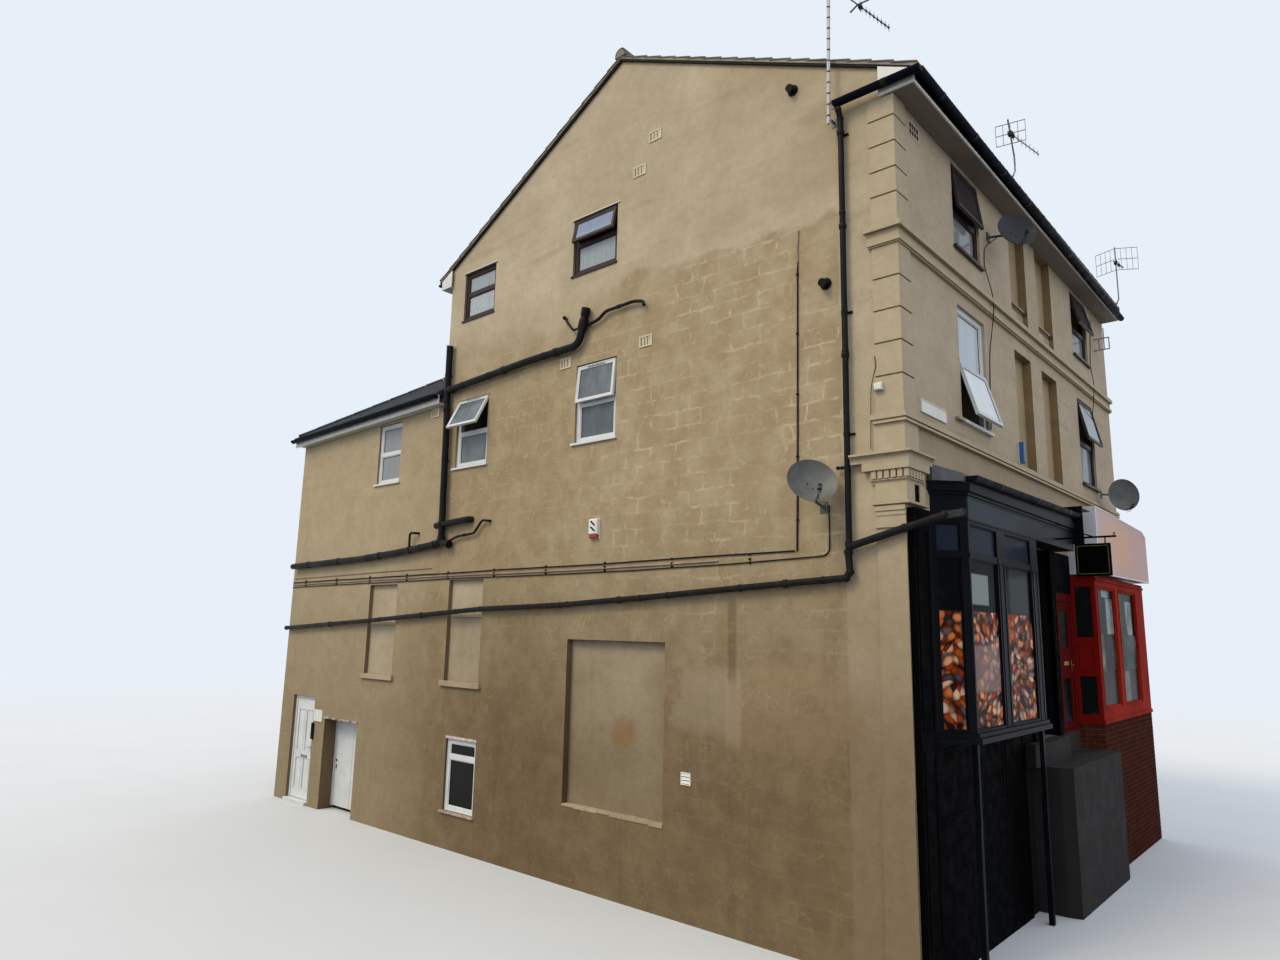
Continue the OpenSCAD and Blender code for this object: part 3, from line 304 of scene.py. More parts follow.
    # dust on whatever faces up
    n.lay((112, 99, 78), (facing_z, 0.5, 0.8), (fine, 0.3, 0.6, 0.4, 0.85))
    n.shade((0.78, 0.76, 0.73), (fine, 0.52, 0.8, 0, 0.25))
    n.finish(0.92, n.bump(height, 0.35, 0.004, n.bump(patch, 0.3, 0.03)), spec=0.2)


def sign_board(name):
    """A printed board, bare of words: soft peach with one warm patch and a pale end."""
    n = Nodes(name)
    x, _, z = n.corner()
    soft = n.noise(1.3, 2)
    n.tint = n.tones(n.add(x, n.times(soft, 1.6)), (190, 155, 150), (178, 134, 120), 6.8, 9.4)
    n.lay((204, 142, 84), (n.add(x, soft), 7.6, 8.9, 0.5), (n.add(z, n.times(soft, 0.5)), 5.3, 5.75, 0.25), 0.6)
    n.lay((196, 200, 200), (x, 6.36, 6.34))
    n.lay((150, 118, 104), (n.noise(30, 3), 0.5, 0.8, 0, 0.3))
    n.finish(0.45, n.bump(n.noise(60, 2), 0.2, 0.0006))


def window_panes(name):
    """Glass toned in each storey as what hangs behind it: nets above, painted shade of a dark room below, and one
    painted sky reflection.
    """
    n = Nodes(name)
    x, y, z = n.corner()
    side, front, top = n.remap(x, 0.5, 0.4), n.remap(x, 1.5, 1.6), n.remap(z, 8.9, 9.0)
    n.tint = n.tones(n.noise(2.0, 3, stretch=(1, 1, 0.7)), (88, 94, 98), (112, 117, 119))
    n.lay((136, 138, 139), (y, 9.4, 9.5), (z, 6.0, 6.1))
    n.lay((148, 155, 158), top, side)
    lace = n.tones(n.noise(46, 3, 0.6), (150, 156, 157), (180, 185, 185), 0.44, 0.56)
    n.lay(lace, top, side, (y, 7.4, 7.5), (z, 9.72, 9.70))
    # painted sky reflection in the top light of the brown side window
    n.lay((112, 128, 152), side, (z, 9.84, 10.1), (y, 4.5, 5.7, 0.1), 0.7)
    n.lay(n.tones(z, (182, 188, 192), (210, 211, 208), 7.3, 7.1), front, (z, 6.3, 8.2, 0.1), (x, 3.1, 3.0))
    n.lay(n.tones(z, (46, 44, 42), (124, 123, 121), 9.5, 9.4), front, top)
    # painted shade: the dark room behind the low window
    n.lay((12, 14, 12), (z, 2.0, 1.9))
    n.lay((70, 74, 78), (n.noise(16, 2, stretch=(1, 1, 0.05)), 0.45, 0.7, 0, 0.12), (z, 2.0, 2.1))
    n.finish(0.1, n.bump(n.noise(2.5, 2), 0.05, 0.02), spec=0.14)


def shop_glazing(name):
    """The shops' panes: the bay's are lined with generic warm pebbles below, carry painted reflections above them,
    and are tinted in the top lights.
    """
    n = Nodes(name)
    x, _, z = n.corner()
    bay = n.remap(x, 4.0, 3.95)
    spread = n.node("Mapping", {"Vector": n.place, "Scale": (1.7, 3.1, 2.3)})
    bent = n.node("TexNoise", {"Vector": n.place, "Scale": 1.4}, 1)
    spread = n.node("VectorMath", {0: spread, 1: bent}, operation="ADD")
    pick = n.node("SeparateColor", {"Color": n.node("TexVoronoi", {"Vector": spread}, 1)})
    n.tint = n.ramp(pick, [(0.0, (44, 20, 14)), (0.22, (170, 66, 24)), (0.42, (226, 128, 62)),
                           (0.60, (232, 186, 146)), (0.76, (150, 126, 122)), (0.92, (40, 26, 26))])
    n.lay((34, 14, 10), (n.node("TexVoronoi", {"Vector": spread}, 0), 0.25, 0.75, 0, 0.85))
    n.lay((150, 128, 120), (z, 3.02, 3.50, 0.06), (x, 1.02, 1.98, 0.02), 0.6)
    # above the prints, a dark ground with painted reflections of dark foliage, and of pale buildings in the upper
    # part of the bay's two front panes
    prints, n.tint = n.tint, n.tones(n.noise(1.1, 4, 0.6), (12, 14, 15), (40, 43, 42), 0.45, 0.62)
    n.lay((142, 148, 140), (x, 1.08, 1.62, 0.02), (z, 4.02, 4.36, 0.02), 0.85)
    n.lay((78, 84, 80), (x, 2.45, 3.1, 0.10), (z, 3.98, 4.5, 0.1), 0.5)
    n.lay(prints, bay, (z, 2.5, 3.92, 0.01))
    n.lay((38, 44, 54), bay, (z, 4.58, 4.6))
    # the red shop's room and what its panes reflect
    seen = n.add(n.times(n.noise(1.3, 4, 0.6), 0.6), n.times(n.block_tints(x, z, 0.47, 0.62), 0.4))
    room = n.ramp(seen, [(0.40, (16, 18, 16)), (0.48, (36, 42, 38)), (0.56, (70, 78, 72)),
                         (0.66, (142, 146, 140))])
    n.lay(n.mix(n.remap(z, 3.3, 2.8, 0, 0.6), room, rgb(62, 52, 44)), (x, 6.5, 6.52))
    n.finish(0.2, n.bump(n.noise(2.0, 2), 0.05, 0.02), spec=0.2, IOR=1.10)


def bay_boards(name):
    """Dark blue gloss paint, with the soft pale light of the street on the left of the long board."""
    n = Nodes(name)
    x, y, z = n.corner()
    cloud = n.noise(1.6, 4)
    sheen = n.add(x, n.times(n.less(cloud, 0.5), 2.2))
    n.tint = n.tones(cloud, (8, 10, 14), (13, 15, 21))
    n.lay((46, 52, 60), (z, 5.02, 5.27, 0.02), (y, -0.30, -0.31), (x, 0.98, 5.4, 0.02),
          (sheen, 3.4, 1.6, 0.25, 1.0))
    n.lay((8, 9, 12), (n.noise(60, 3), 0.5, 0.75, 0, 0.3))
    n.finish(0.42, n.bump(n.noise(40, 2), 0.2, 0.0004), spec=0.05)


def red_paint(name):
    """Red gloss, deep on the door and its post and more orange on the shop's frames."""
    n = Nodes(name)
    x, _, _ = n.corner()
    n.tint = n.tones(x, (74, 10, 8), (100, 14, 8), 6.15, 6.25)
    n.lay(n.tones(n.noise(1.4, 4), (126, 28, 16), (152, 38, 22)), (x, 6.48, 6.60))
    n.lay((48, 10, 8), (n.noise(50, 3), 0.5, 0.75, 0, 0.3))
    n.finish(0.6, n.bump(n.noise(40, 2), 0.2, 0.0006), spec=0.01)


def white_plastic(name):
    """White frames, the stone-coloured sill of the low window and the weathered strip over the deep recess."""
    n = Nodes(name)
    x, y, z = n.corner()
    fine = n.noise(20, 2)
    n.tint = n.tones(n.noise(3), (196, 197, 194), (206, 207, 204), 0.3, 0.7)
    n.lay((180, 180, 174), (fine, 0.5, 0.8, 0, 0.2))
    n.lay(n.tones(fine, (128, 106, 84), (164, 146, 122), 0.4, 0.6), (z, 0.61, 0.60), (y, 7.2, 8.5, 0.05), 0.9)
    n.lay(n.tones(n.noise(12, 4), (108, 88, 80), (182, 164, 156), 0.42, 0.58), (z, 1.745, 1.785, 0.003),
          (y, 11.1, 12.45, 0.05), (x, 0.01, 0.0))
    n.finish(0.45, n.bump(fine, 0.3, 0.0001), spec=0.3)


def dish_paint(name):
    """Grey enamel, with painted shade that makes the upper of the front's dishes, under the eaves, nearly black.
    """
    n = Nodes(name)
    x, _, z = n.corner()
    n.tint = n.tones(n.noise(5, 3), (86, 86, 82), (98, 98, 94))
    n.lay((50, 50, 54), (x, 2.6, 3.9, 0.1), (z, 9.0, 9.1))
    n.lay((58, 56, 52), (n.noise(60, 3), 0.5, 0.8, 0, 0.3))
    n.finish(0.5, n.bump(n.noise(30, 2), 0.2, 0.0008), spec=0.3)


def aerial_metal(name):
    """Dull aluminium, and the paler pole at the gable."""
    n = Nodes(name)
    x, y, _ = n.corner()
    n.tint = n.tones(n.noise(12, 3), (84, 82, 84), (112, 110, 110))
    n.lay((186, 178, 174), (x, -0.2, -0.1, 0.02), (y, 0.65, 0.85, 0.02))
    n.finish(0.45, n.bump(n.noise(50, 2), 0.2, 0.0005), spec=0.4)


def brickwork(name):
    """Dark brown bricks; their joints are meshes."""
    n = Nodes(name)
    grain = n.noise(30, 4, 0.6)
    n.tint = n.tones(n.noise(7, 2), (68, 30, 18), (54, 22, 13), 0.4, 0.62)
    n.lay((40, 22, 17), (grain, 0.5, 0.75, 0, 0.3))
    n.finish(0.9, n.bump(grain, 0.6, 0.003), spec=0.02)


def tiles(name, low, high, moss):
    n = Nodes(name)
    grain = n.noise(40, 4, 0.65)
    n.tint = n.tones(n.noise(2.2, 4), low, high, 0.36, 0.64)
    n.lay(moss, (n.noise(9, 5, 0.7), 0.56, 0.68, 0, 0.35))
    n.lay(low, (grain, 0.5, 0.8, 0, 0.4))
    n.finish(0.9, n.bump(grain, 0.6, 0.003), spec=0.3)


STREET_DIRT = (0.20, 0.185, 0.15)
# the record's slots
wall_render("render_tan")
painted("stone_grey", rgb(40, 36, 34), 0.9, 0.3, 3, 40, 0.003, spec=0.2)
brickwork("brick_brown")
tiles("roof_tile", (94, 91, 86), (110, 106, 98), (126, 120, 96))
tiles("slate_dark", (38, 40, 44), (52, 54, 58), (66, 68, 62))
painted("timber_floor", (0.16, 0.11, 0.07), 0.7, 0.2, 3)
painted("paint_white", rgb(206, 203, 196), 0.5, 0.06, dirt=(*STREET_DIRT, 0.10))
white_plastic("upvc_white")
painted("timber_brown", rgb(50, 34, 32), 0.45, 0.25, spec=0.3)
painted("soffit_brown", rgb(118, 106, 98), 0.7, 0.15)
painted("plastic_black", rgb(13, 12, 14), 0.5, 0.3, 3, dirt=(0.045, 0.038, 0.032, 0.3), spec=0.14)
window_panes("glass_clear")
bay_boards("paint_navy")
painted("lead_grey", rgb(74, 74, 76), 0.6, 0.25, 2.5, dirt=(0.16, 0.15, 0.13, 0.5))
painted("paint_black", rgb(3, 3, 4), 0.7, 0.25, 6, 80, 0.0002, spec=0.02)
red_paint("paint_red")
sign_board("board_peach")
painted("metal_grey", rgb(112, 110, 106), 0.5, 0.15, spec=0.4)
painted("clay_vent", rgb(204, 190, 160), 0.85, 0.12, 6, 40, 0.001)
painted("box_white", rgb(212, 208, 196), 0.4, 0.06, dirt=(*STREET_DIRT, 0.2))
# finishes within a slot
wall_render("render_mouldings", plain=True)
shop_glazing("shop_glass")
painted("ledge_render", rgb(160, 143, 114), 0.9, 0.2, 2, 40, 0.003, spec=0.2)
painted("rubber_gasket", rgb(22, 22, 24), 0.7, 0.2, spec=0.2)
tiles("pale_mortar", (122, 112, 96), (150, 140, 120), (96, 90, 78))
painted("dark_fascia", rgb(9, 10, 20), 0.55, 0.2, spec=0.05)
dish_paint("dish_enamel_and_shade")
aerial_metal("aerial_metal")
painted("aged_brass", rgb(150, 120, 60), 0.4, 0.25, Metallic=0.7)
painted("dull_steel", rgb(140, 140, 140), 0.4, 0.2, Metallic=0.8)
painted("painted_cable", rgb(150, 128, 112), 0.6, 0.2, spec=0.2)
painted("weathered_board", rgb(196, 176, 166), 0.7, 0.25, 8, 40, 0.002, dirt=(0.16, 0.12, 0.10, 0.5))
painted("blue_cover", rgb(40, 88, 140), 0.4, 0.1)
painted("dark_mortar", rgb(84, 64, 52), 0.9, 0.25, 3, 40, 0.003, spec=0.02)
painted("red_lens", rgb(150, 40, 30), 0.25, 0.15)
painted("gold_line", rgb(120, 104, 40), 0.5, 0.2)

# CAD nodes that don't wear the plain look of their slot
NODE_LOOKS = {
    **dict.fromkeys(("string_courses", "corner_quoins", "corner_capital", "corner_pilaster"), "render_mouldings"),
    **dict.fromkeys(("shop_glass", "red_door_glass"), "shop_glass"),
    **dict.fromkeys(("front_fascia", "gutters"), "dark_fascia"),
    "satellite_dishes": "dish_enamel_and_shade", "aerials": "aerial_metal",
}
for part in frame["record"]["subparts"]:
    mesh = frame["nodes"][part["node"]].data
    mesh.materials.clear()
    mesh.materials.append(LOOKS[NODE_LOOKS.get(part["node"], part["material_slot"])])

# Shapes
SHARP = math.radians(40)


class Shape:
    """Solids gathered into one mesh, given in metres from the street corner."""

    def __init__(self):
        self.points, self.faces = [], []

    def loft(self, rings, turn=None):
        """Skins rings of equally many points and caps both ends."""
        start, count = len(self.points), len(rings[0])
        for ring in rings:
            self.points += [turn @ Vector(p) if turn else Vector(p) for p in ring]
        for r in range(len(rings) - 1):
            for i in range(count):
                a, b = start + r * count, (i + 1) % count
                self.faces.append((a + i, a + b, a + count + b, a + count + i))
        self.faces.append(tuple(range(start + count - 1, start - 1, -1)))
        last = start + (len(rings) - 1) * count
        self.faces.append(tuple(range(last, last + count)))

    def box(self, low, high, turn=None):
        (a, b, c), (d, e, f) = low, high
        self.loft([[(a, b, z), (d, b, z), (d, e, z), (a, e, z)] for z in (c, f)], turn)

    def boxes(self, *pairs, turn=None):
        for low, high in pairs:
            self.box(low, high, turn)

    def ring(self, x0, x1, z0, z1, width, y0, y1, turn=None):
        """A rectangular frame standing in its own x and z, from depth y0 to y1."""
        self.boxes(((x0, y0, z0), (x1, y1, z0 + width)), ((x0, y0, z1 - width), (x1, y1, z1)),
                   ((x0, y0, z0 + width), (x0 + width, y1, z1 - width)),
                   ((x1 - width, y0, z0 + width), (x1, y1, z1 - width)), turn=turn)

    def cover(self, u0, u1, z0, z1, steps, front=False, top=1):
        """A moulded cover on the side or front wall, whose face narrows by a little at each depth."""
        rings = []
        for deep, d in steps:
            corners = ((u0 + d, z0 + d), (u1 - d, z0 + d), (u1 - d, z1 - d * top), (u0 + d, z1 - d * top))
            rings.append([(u, deep, z) if front else (deep, u, z) for u, z in corners])
        self.loft(rings)

    def tube(self, path, radius, sides=12, turn=None):
        path = [Vector(p) for p in path]
        rings, across = [], None
        for i, p in enumerate(path):
            ahead = (path[min(i + 1, len(path) - 1)] - path[max(i - 1, 0)]).normalized()
            across = ahead.orthogonal() if across is None else across - ahead * across.dot(ahead)
            across.normalize()
            over = ahead.cross(across)
            size = radius[i] if isinstance(radius, (list, tuple)) else radius
            angles = [2 * math.pi * k / sides for k in range(sides)]
            rings.append([p + (across * math.cos(t) + over * math.sin(t)) * size for t in angles])
        self.loft(rings, turn)

    def make(self, name, slot, look=None, body=BUILDING, replaces=(), bevel=0.0, smooth=False):
        mesh = bpy.data.meshes.new(name)
        mesh.from_pydata([CORNER + p for p in self.points], [], self.faces)
        work = bmesh.new()
        work.from_mesh(mesh)
        bmesh.ops.recalc_face_normals(work, faces=work.faces)
        work.to_mesh(mesh)
        work.free()
        if smooth:
            mesh.polygons.foreach_set("use_smooth", [True] * len(mesh.polygons))
            mesh.set_sharp_from_angle(angle=SHARP)
        mesh.materials.append(LOOKS[look or slot])
        piece = add_object(name, mesh)
        if bevel:
            rounding = piece.modifiers.new("soft_edges", "BEVEL")
            rounding.width = bevel
            rounding.segments = 2
            rounding.limit_method = "ANGLE"
            rounding.angle_limit = SHARP
        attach(piece, body)
        if replaces:
            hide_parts(*replaces)


def rounded(path, bend):
    """The path with its corners turned into arcs that begin that far from them."""
    path = [Vector(p) for p in path]
    result = [path[0]]
    for a, b, c in zip(path, path[1:], path[2:]):
        reach = min(bend, (b - a).length * 0.48, (c - b).length * 0.48)
        start, end = b + (a - b).normalized() * reach, b + (c - b).normalized() * reach
        result += [start.lerp(b, k / 8).lerp(b.lerp(end, k / 8), k / 8) for k in range(9)]
    return result + [path[-1]]


def arc(start, stop, steps):
    """The cosine and sine at each of so many steps from one angle to another, in degrees."""
    angles = [math.radians(start + (stop - start) * k / steps) for k in range(steps + 1)]
    return [(math.cos(t), math.sin(t)) for t in angles]


def half_ring(outer, inner):
    """The outer and the inner arc of half a ring, as they follow each other round its outline."""
    return ([(outer * c, outer * s) for c, s in arc(0, 180, 12)],
            [(inner * c, inner * s) for c, s in arc(180, 0, 12)])


def shift(x, y, z):
    return Matrix.Translation((x, y, z))


def turned(degrees, axis):
    return Matrix.Rotation(math.radians(degrees), 4, axis)


def side_turn(y, z, depth=0.0):
    """A frame set in the side wall: its own x runs towards the street corner and -y outwards."""
    return shift(depth, y, z) @ turned(-90, "Z")


def on_side(x, *places):
    """Places at one distance from the side wall, each given by its y and z."""
    return [(x, y, z) for y, z in places]


# Roofs
RIDGE_Y, RIDGE_Z = 4.580, 12.830
FRONT_RISE, REAR_RISE = (RIDGE_Z - 10.560) / RIDGE_Y, (RIDGE_Z - 10.380) / (8.920 - RIDGE_Y)
LEFT_X, RIGHT_X = -0.070, 10.050
TILE_GAUGE, TILES_ACROSS, TILE_THICK = 0.33, 34, 0.017
BATTEN_GAUGE, BATTENS = 0.285, 17


def roof_tiles(name, eaves_y, rise, replaces):
    """Interlocking tiles in courses within the slope's thickness, each with a low roll near its right edge."""
    shape = Shape()
    sign = 1 if eaves_y < RIDGE_Y else -1
    run = abs(RIDGE_Y - eaves_y)
    courses = round(run * math.hypot(1, rise) / TILE_GAUGE)
    gauge, width = run / courses, (RIGHT_X - LEFT_X) / TILES_ACROSS
    profile = [(0.004, 0), (0.66, 0), (0.72, 0.007), (0.80, 0.013), (0.88, 0.007), (0.94, 0), (0.996, 0)]
    for k in range(courses):
        for i in range(TILES_ACROSS):
            lift, slip = RANDOM.uniform(-0.002, 0.0), RANDOM.uniform(0, 0.004)
            rings = []
            for far, top in ((gauge * k + slip, 0.070), (min(run, gauge * (k + 1) + 0.05), 0.044)):
                y = eaves_y + sign * far
                base = RIDGE_Z - rise * (run - far)
                upper = [(LEFT_X + (i + u) * width, y, base + top + h + lift) for u, h in profile]
                rings.append(upper + [(px, py, pz - TILE_THICK) for px, py, pz in reversed(upper)])
            shape.loft(rings)
    shape.make(name, "roof_tile", replaces=replaces)


def verge_bedding():
    """Mortar along both slopes, at the verge and at the party wall, and the battens that carry the tiles."""
    shape = Shape()
    for eaves_y, rise in ((-0.355, FRONT_RISE), (9.275, REAR_RISE)):
        for x0, x1 in ((-0.058, 0.02), (10.0, 10.048)):
            rings = []
            for k in range(25):
                y = eaves_y + (RIDGE_Y - eaves_y) * k / 24
                base = RIDGE_Z - rise * abs(RIDGE_Y - y)
                wave = RANDOM.uniform(0, 0.006)
                rings.append([(x0 + wave, y, base + 0.001), (x1, y, base + 0.001), (x1, y, base + 0.048),
                              (x0 - 0.002 + wave, y, base + 0.046)])
            shape.loft(rings)
    for eaves_y, rise in ((-0.36, FRONT_RISE), (9.28, REAR_RISE)):
        sign = 1 if eaves_y < RIDGE_Y else -1
        for k in range(BATTENS):
            far = 0.02 + k * BATTEN_GAUGE
            y = eaves_y + sign * far
            base = RIDGE_Z - rise * abs(RIDGE_Y - y)
            if far < abs(RIDGE_Y - eaves_y) - 0.05:
                shape.box((0.03, y - 0.02, base + 0.002), (9.99, y + 0.02, base + 0.022))
    shape.make("verge_mortar_and_battens", "stone_grey", "pale_mortar")


def ridge_row():
    """Half round ridge tiles butted in mortar, which also fills the open end."""
    shape = Shape()
    count, start, base, foot = 22, -0.075, RIDGE_Z + 0.075, -0.045
    length = (RIGHT_X - start) / count
    for i in range(count):
        x0 = start + i * length
        for x, far, radius, inner in ((x0 + 0.006, x0 + length - 0.006, 0.113, 0.098),
                                      (x0 + length - 0.008, x0 + length, 0.109, 0.09)):
            over, under = half_ring(radius, inner)
            profile = [*over, (-radius, foot), (-inner, foot), *under, (inner, foot), (radius, foot)]
            shape.loft([[(end, RIDGE_Y + v, base + h) for v, h in profile] for end in (x, far)])
    shape.make("ridge_tile_row", "roof_tile", replaces=["ridge_tiles"], smooth=True)
    shape = Shape()
    shape.loft([[(x, RIDGE_Y + 0.097 * c, base - 0.04 + 0.13 * s) for c, s in arc(0, 180, 12)]
                for x in (-0.072, -0.03)])
    shape.make("ridge_end_mortar", "stone_grey", "pale_mortar")


# the wing's roof, tilted a little about its inner eaves
EAVES_TILT = shift(0, 8.920, 7.870) @ turned(-1.6, "X") @ shift(0, -8.920, 0.030)
HIP_HALF, HIP_PITCH, BACK_Y = 2.900, math.tan(math.radians(32.3)), 14.220


def extension_slates():
    """Slates in courses on the two long slopes and the hipped end, with capped hips."""
    shape = Shape()
    gauge, width, thick = 0.19, 0.26, 0.008
    courses = int(HIP_HALF * math.hypot(1, HIP_PITCH) / gauge)
    step = HIP_HALF / courses
    end_y = BACK_Y + 0.195

    def face(point, start, finish, closing):
        """Lays courses on a slope; point(along, up) gives a place, and closing says how far each end draws in."""
        for k in range(courses):
            low, high = k * step, min(HIP_HALF, (k + 1) * step + 0.03)
            a = start - (k % 2) * width / 2
            while a < finish:
                lift, slip = RANDOM.uniform(0.001, 0.004), RANDOM.uniform(0, 0.006)
                ends = []
                for up, raise_by in ((low + slip, 0.011), (high, 0.003)):
                    u0 = max(a + 0.003, start + up * closing[0])
                    u1 = min(a + width - 0.003, finish - up * closing[1])
                    ends.append((u0, u1, up, raise_by + lift))
                if all(u1 - u0 > 0.02 for u0, u1, up, top in ends):
                    rings = []
                    for u0, u1, up, top in ends:
                        p, q = point(u0, up), point(u1, up)
                        above, below = Vector((0, 0, top)), Vector((0, 0, top - thick))
                        rings.append([p + above, q + above, q + below, p + below])
                    shape.loft(rings, EAVES_TILT)
                a += width

    face(lambda a, up: Vector((-0.2 + up, a, up * HIP_PITCH)), 8.935, end_y, (0, 1))
    face(lambda a, up: Vector((5.6 - up, a, up * HIP_PITCH)), 8.935, end_y, (0, 1))
    face(lambda a, up: Vector((a, end_y - up, up * HIP_PITCH)), -0.2, 5.6, (1, 1))
    shape.make("extension_slate_courses", "slate_dark")
    caps = Shape()
    top = Vector((2.7, end_y - HIP_HALF, HIP_HALF * HIP_PITCH))
    for begin, finish in ((Vector((-0.12, end_y - 0.08, 0.05)), top), (Vector((5.52, end_y - 0.08, 0.05)), top),
                          (top, Vector((2.7, 9.02, top.z)))):
        count = max(3, round((finish - begin).length / 0.42))
        for k in range(count):
            a, b = begin.lerp(finish, (k + 0.01) / count), begin.lerp(finish, (k + 0.99) / count)
            caps.tube([a + Vector((0, 0, 0.005)), b + Vector((0, 0, -0.002))], 0.055, 14, EAVES_TILT)
    caps.make("extension_hip_tiles", "slate_dark", smooth=True)


roof_tiles("front_roof_tiles", -0.360, FRONT_RISE, ["front_roof_slope"])
roof_tiles("rear_roof_tiles", 9.280, REAR_RISE, ["rear_roof_slope"])
verge_bedding()
ridge_row()
extension_slates()

# Windows
FRAME, REVEAL, BEAD = 0.072, 0.045, 0.017
FACING_BACK, FACING_YARD = turned(180, "Z"), turned(90, "Z")

# Each window: its own frame, width, height, height of its bar, whether its lower and its upper light are fixed,
# and whether it is brown. First the side wall's, then the front's, then those of the walls that don't show.
WINDOWS = [(side_turn(y, z, REVEAL), *rest) for y, z, *rest in (
    (8.519, 6.445, 0.902, 1.251, 0.6255, (1, 0), 0), (5.414, 6.495, 0.878, 1.269, 0.6345, (1, 0), 0),
    (11.109, 6.395, 0.798, 1.204, 0.602, (1, 1), 0), (8.290, 0.600, 0.810, 1.156, 0.860, (1, 1), 0),
    (8.519, 9.248, 0.902, 0.929, 0.511, (1, 1), 1), (5.590, 9.335, 0.990, 0.975, 0.536, (1, 0), 1))]
WINDOWS += [(shift(x, REVEAL, z), *rest) for x, z, *rest in (
    (1.840, 6.433, 1.004, 1.612, 0.800, (0, 1), 0), (1.840, 8.898, 1.004, 1.232, 0.560, (1, 0), 1),
    (7.616, 8.898, 1.045, 1.232, 0.560, (1, 0), 1), (7.616, 6.433, 1.045, 1.612, 0.800, (1, 0), 1))]
WINDOWS += [(shift(7.9, 8.920 - REVEAL, z) @ FACING_BACK, 0.9, 1.2, 0.6, (1, 1), 0) for z in (3.1, 6.433, 8.75)]
for sill in (3.1, 6.395):
    WINDOWS.append((shift(3.1, BACK_Y - REVEAL, sill) @ FACING_BACK, 1.0, 1.2, 0.6, (1, 1), 0))
    WINDOWS.append((shift(5.4 - REVEAL, 11.0, sill) @ FACING_YARD, 0.9, 1.2, 0.6, (1, 1), 0))

# Each tilted sash: its own frame, hung from its head, width, height, and whether it is brown
SASHES = [(side_turn(y, z, REVEAL) @ shift(0.03, 0, 0) @ turned(-angle, "X"), *rest) for y, z, angle, *rest in (
    (8.519, 7.666, 27, 0.842, 0.600, 0), (5.414, 7.734, 5, 0.818, 0.600, 0), (5.590, 10.280, 12, 0.930, 0.400, 1))]
SASHES += [(shift(x, REVEAL, z) @ turned(-angle, "X"), *rest) for x, z, angle, *rest in (
    (1.870, 7.225, 16, 0.944, 0.768, 0), (1.870, 10.100, 8, 0.944, 0.640, 1),
    (7.646, 10.100, 14, 0.985, 0.640, 1), (7.646, 8.015, 12, 0.985, 0.784, 1))]


def dress_windows():
    beads = [Shape(), Shape()]
    seals_and_slot_shade, stays = Shape(), Shape()
    for turn, w, h, bar, fixed, brown in WINDOWS:
        for there, z0, z1 in ((fixed[0], FRAME, bar - FRAME / 2), (fixed[1], bar + FRAME / 2, h - FRAME)):
            if there:
                beads[brown].ring(FRAME, w - FRAME, z0, z1, BEAD, 0.010, 0.0245, turn)
                seals_and_slot_shade.ring(FRAME + BEAD, w - FRAME - BEAD, z0 + BEAD, z1 - BEAD, 0.005, 0.018, 0.0248, turn)
        # a raised lip round the outside of the frame
        beads[brown].ring(0.002, w - 0.002, 0.002, h - 0.002, 0.014, -0.007, 0.0, turn)
    for turn, w, h, brown in SASHES:
        beads[brown].ring(0.002, w - 0.002, -h + 0.002, -0.002, 0.012, -0.046, -0.040, turn)
        beads[brown].ring(0.045, w - 0.045, -h + 0.045, -0.045, 0.014, -0.036, -0.0285, turn)
        seals_and_slot_shade.ring(0.059, w - 0.059, -h + 0.059, -0.059, 0.005, -0.034, -0.0283, turn)
        for x in (0.02, w - 0.03):
            stays.box((x, -0.0015, -h * 0.72), (x + 0.012, 0.0, -h * 0.20), turn)
    # slotted vents in the heads of the two tilted white sashes, whose slots are thin dark patches of painted shade
    for turn, w, h, brown in SASHES[:2]:
        beads[0].box((w / 2 - 0.19, -0.055, -0.036), (w / 2 + 0.19, -0.046, -0.012), turn)
        for k in range(12):
            x = w / 2 - 0.18 + k * 0.0305
            seals_and_slot_shade.box((x, -0.0565, -0.029), (x + 0.022, -0.055, -0.019), turn)
    beads[0].make("white_window_beads", "upvc_white", bevel=0.0015)
    beads[1].make("brown_window_beads", "timber_brown", bevel=0.0015)
    seals_and_slot_shade.make("window_seals_and_slot_shade", "plastic_black", "rubber_gasket")
    stays.make("window_stays", "metal_grey", "dull_steel")
    # strips over the heads of the brown side windows, and the old board over the low one
    drips, board = Shape(), Shape()
    for y0, y1, z in ((7.617, 8.519, 10.177), (4.600, 5.590, 10.310)):
        drips.box((-0.020, y0 - 0.05, z + 0.002), (-0.001, y1 + 0.05, z + 0.016))
    board.box((-0.004, 7.470, 1.757), (0.040, 8.300, 1.800))
    board.make("lower_window_head", "paint_white", "weathered_board", bevel=0.003)
    drips.make("head_drip_strips", "box_white", bevel=0.002)


def render_ledges():
    """The rendered ledges of the blind windows, recesses and blind doorway, laid over their solids."""
    shape = Shape()
    for y0, y1 in ((7.440, 8.540), (10.030, 11.110)):
        shape.box((-0.048, y0 - 0.001, 2.612), (0.0, y1 + 0.001, 2.703))
    for y0, y1, z in ((7.506, 8.463, 3.840), (10.090, 11.043, 3.680)):
        shape.box((0.030, y0 + 0.01, z - 0.055), (0.078, y1 - 0.06, z))
    shape.box((1.575, -0.0615, 6.392), (1.800, 0.0, 6.432))
    for x0, x1 in ((4.142, 4.934), (5.503, 6.340)):
        shape.box((x0, 0.045, 8.866), (x1, 0.1305, 8.894))
    for k in range(8):
        y, low, high = 3.495 + k * 0.239, RANDOM.uniform(-0.012, 0.008), RANDOM.uniform(-0.004, 0.008)
        shape.box((-0.010, y, 1.080 + low), (0.108, y + 0.236, 1.118 + high))
    shape.make("rendered_ledges", "render_tan", "ledge_render", bevel=0.004)


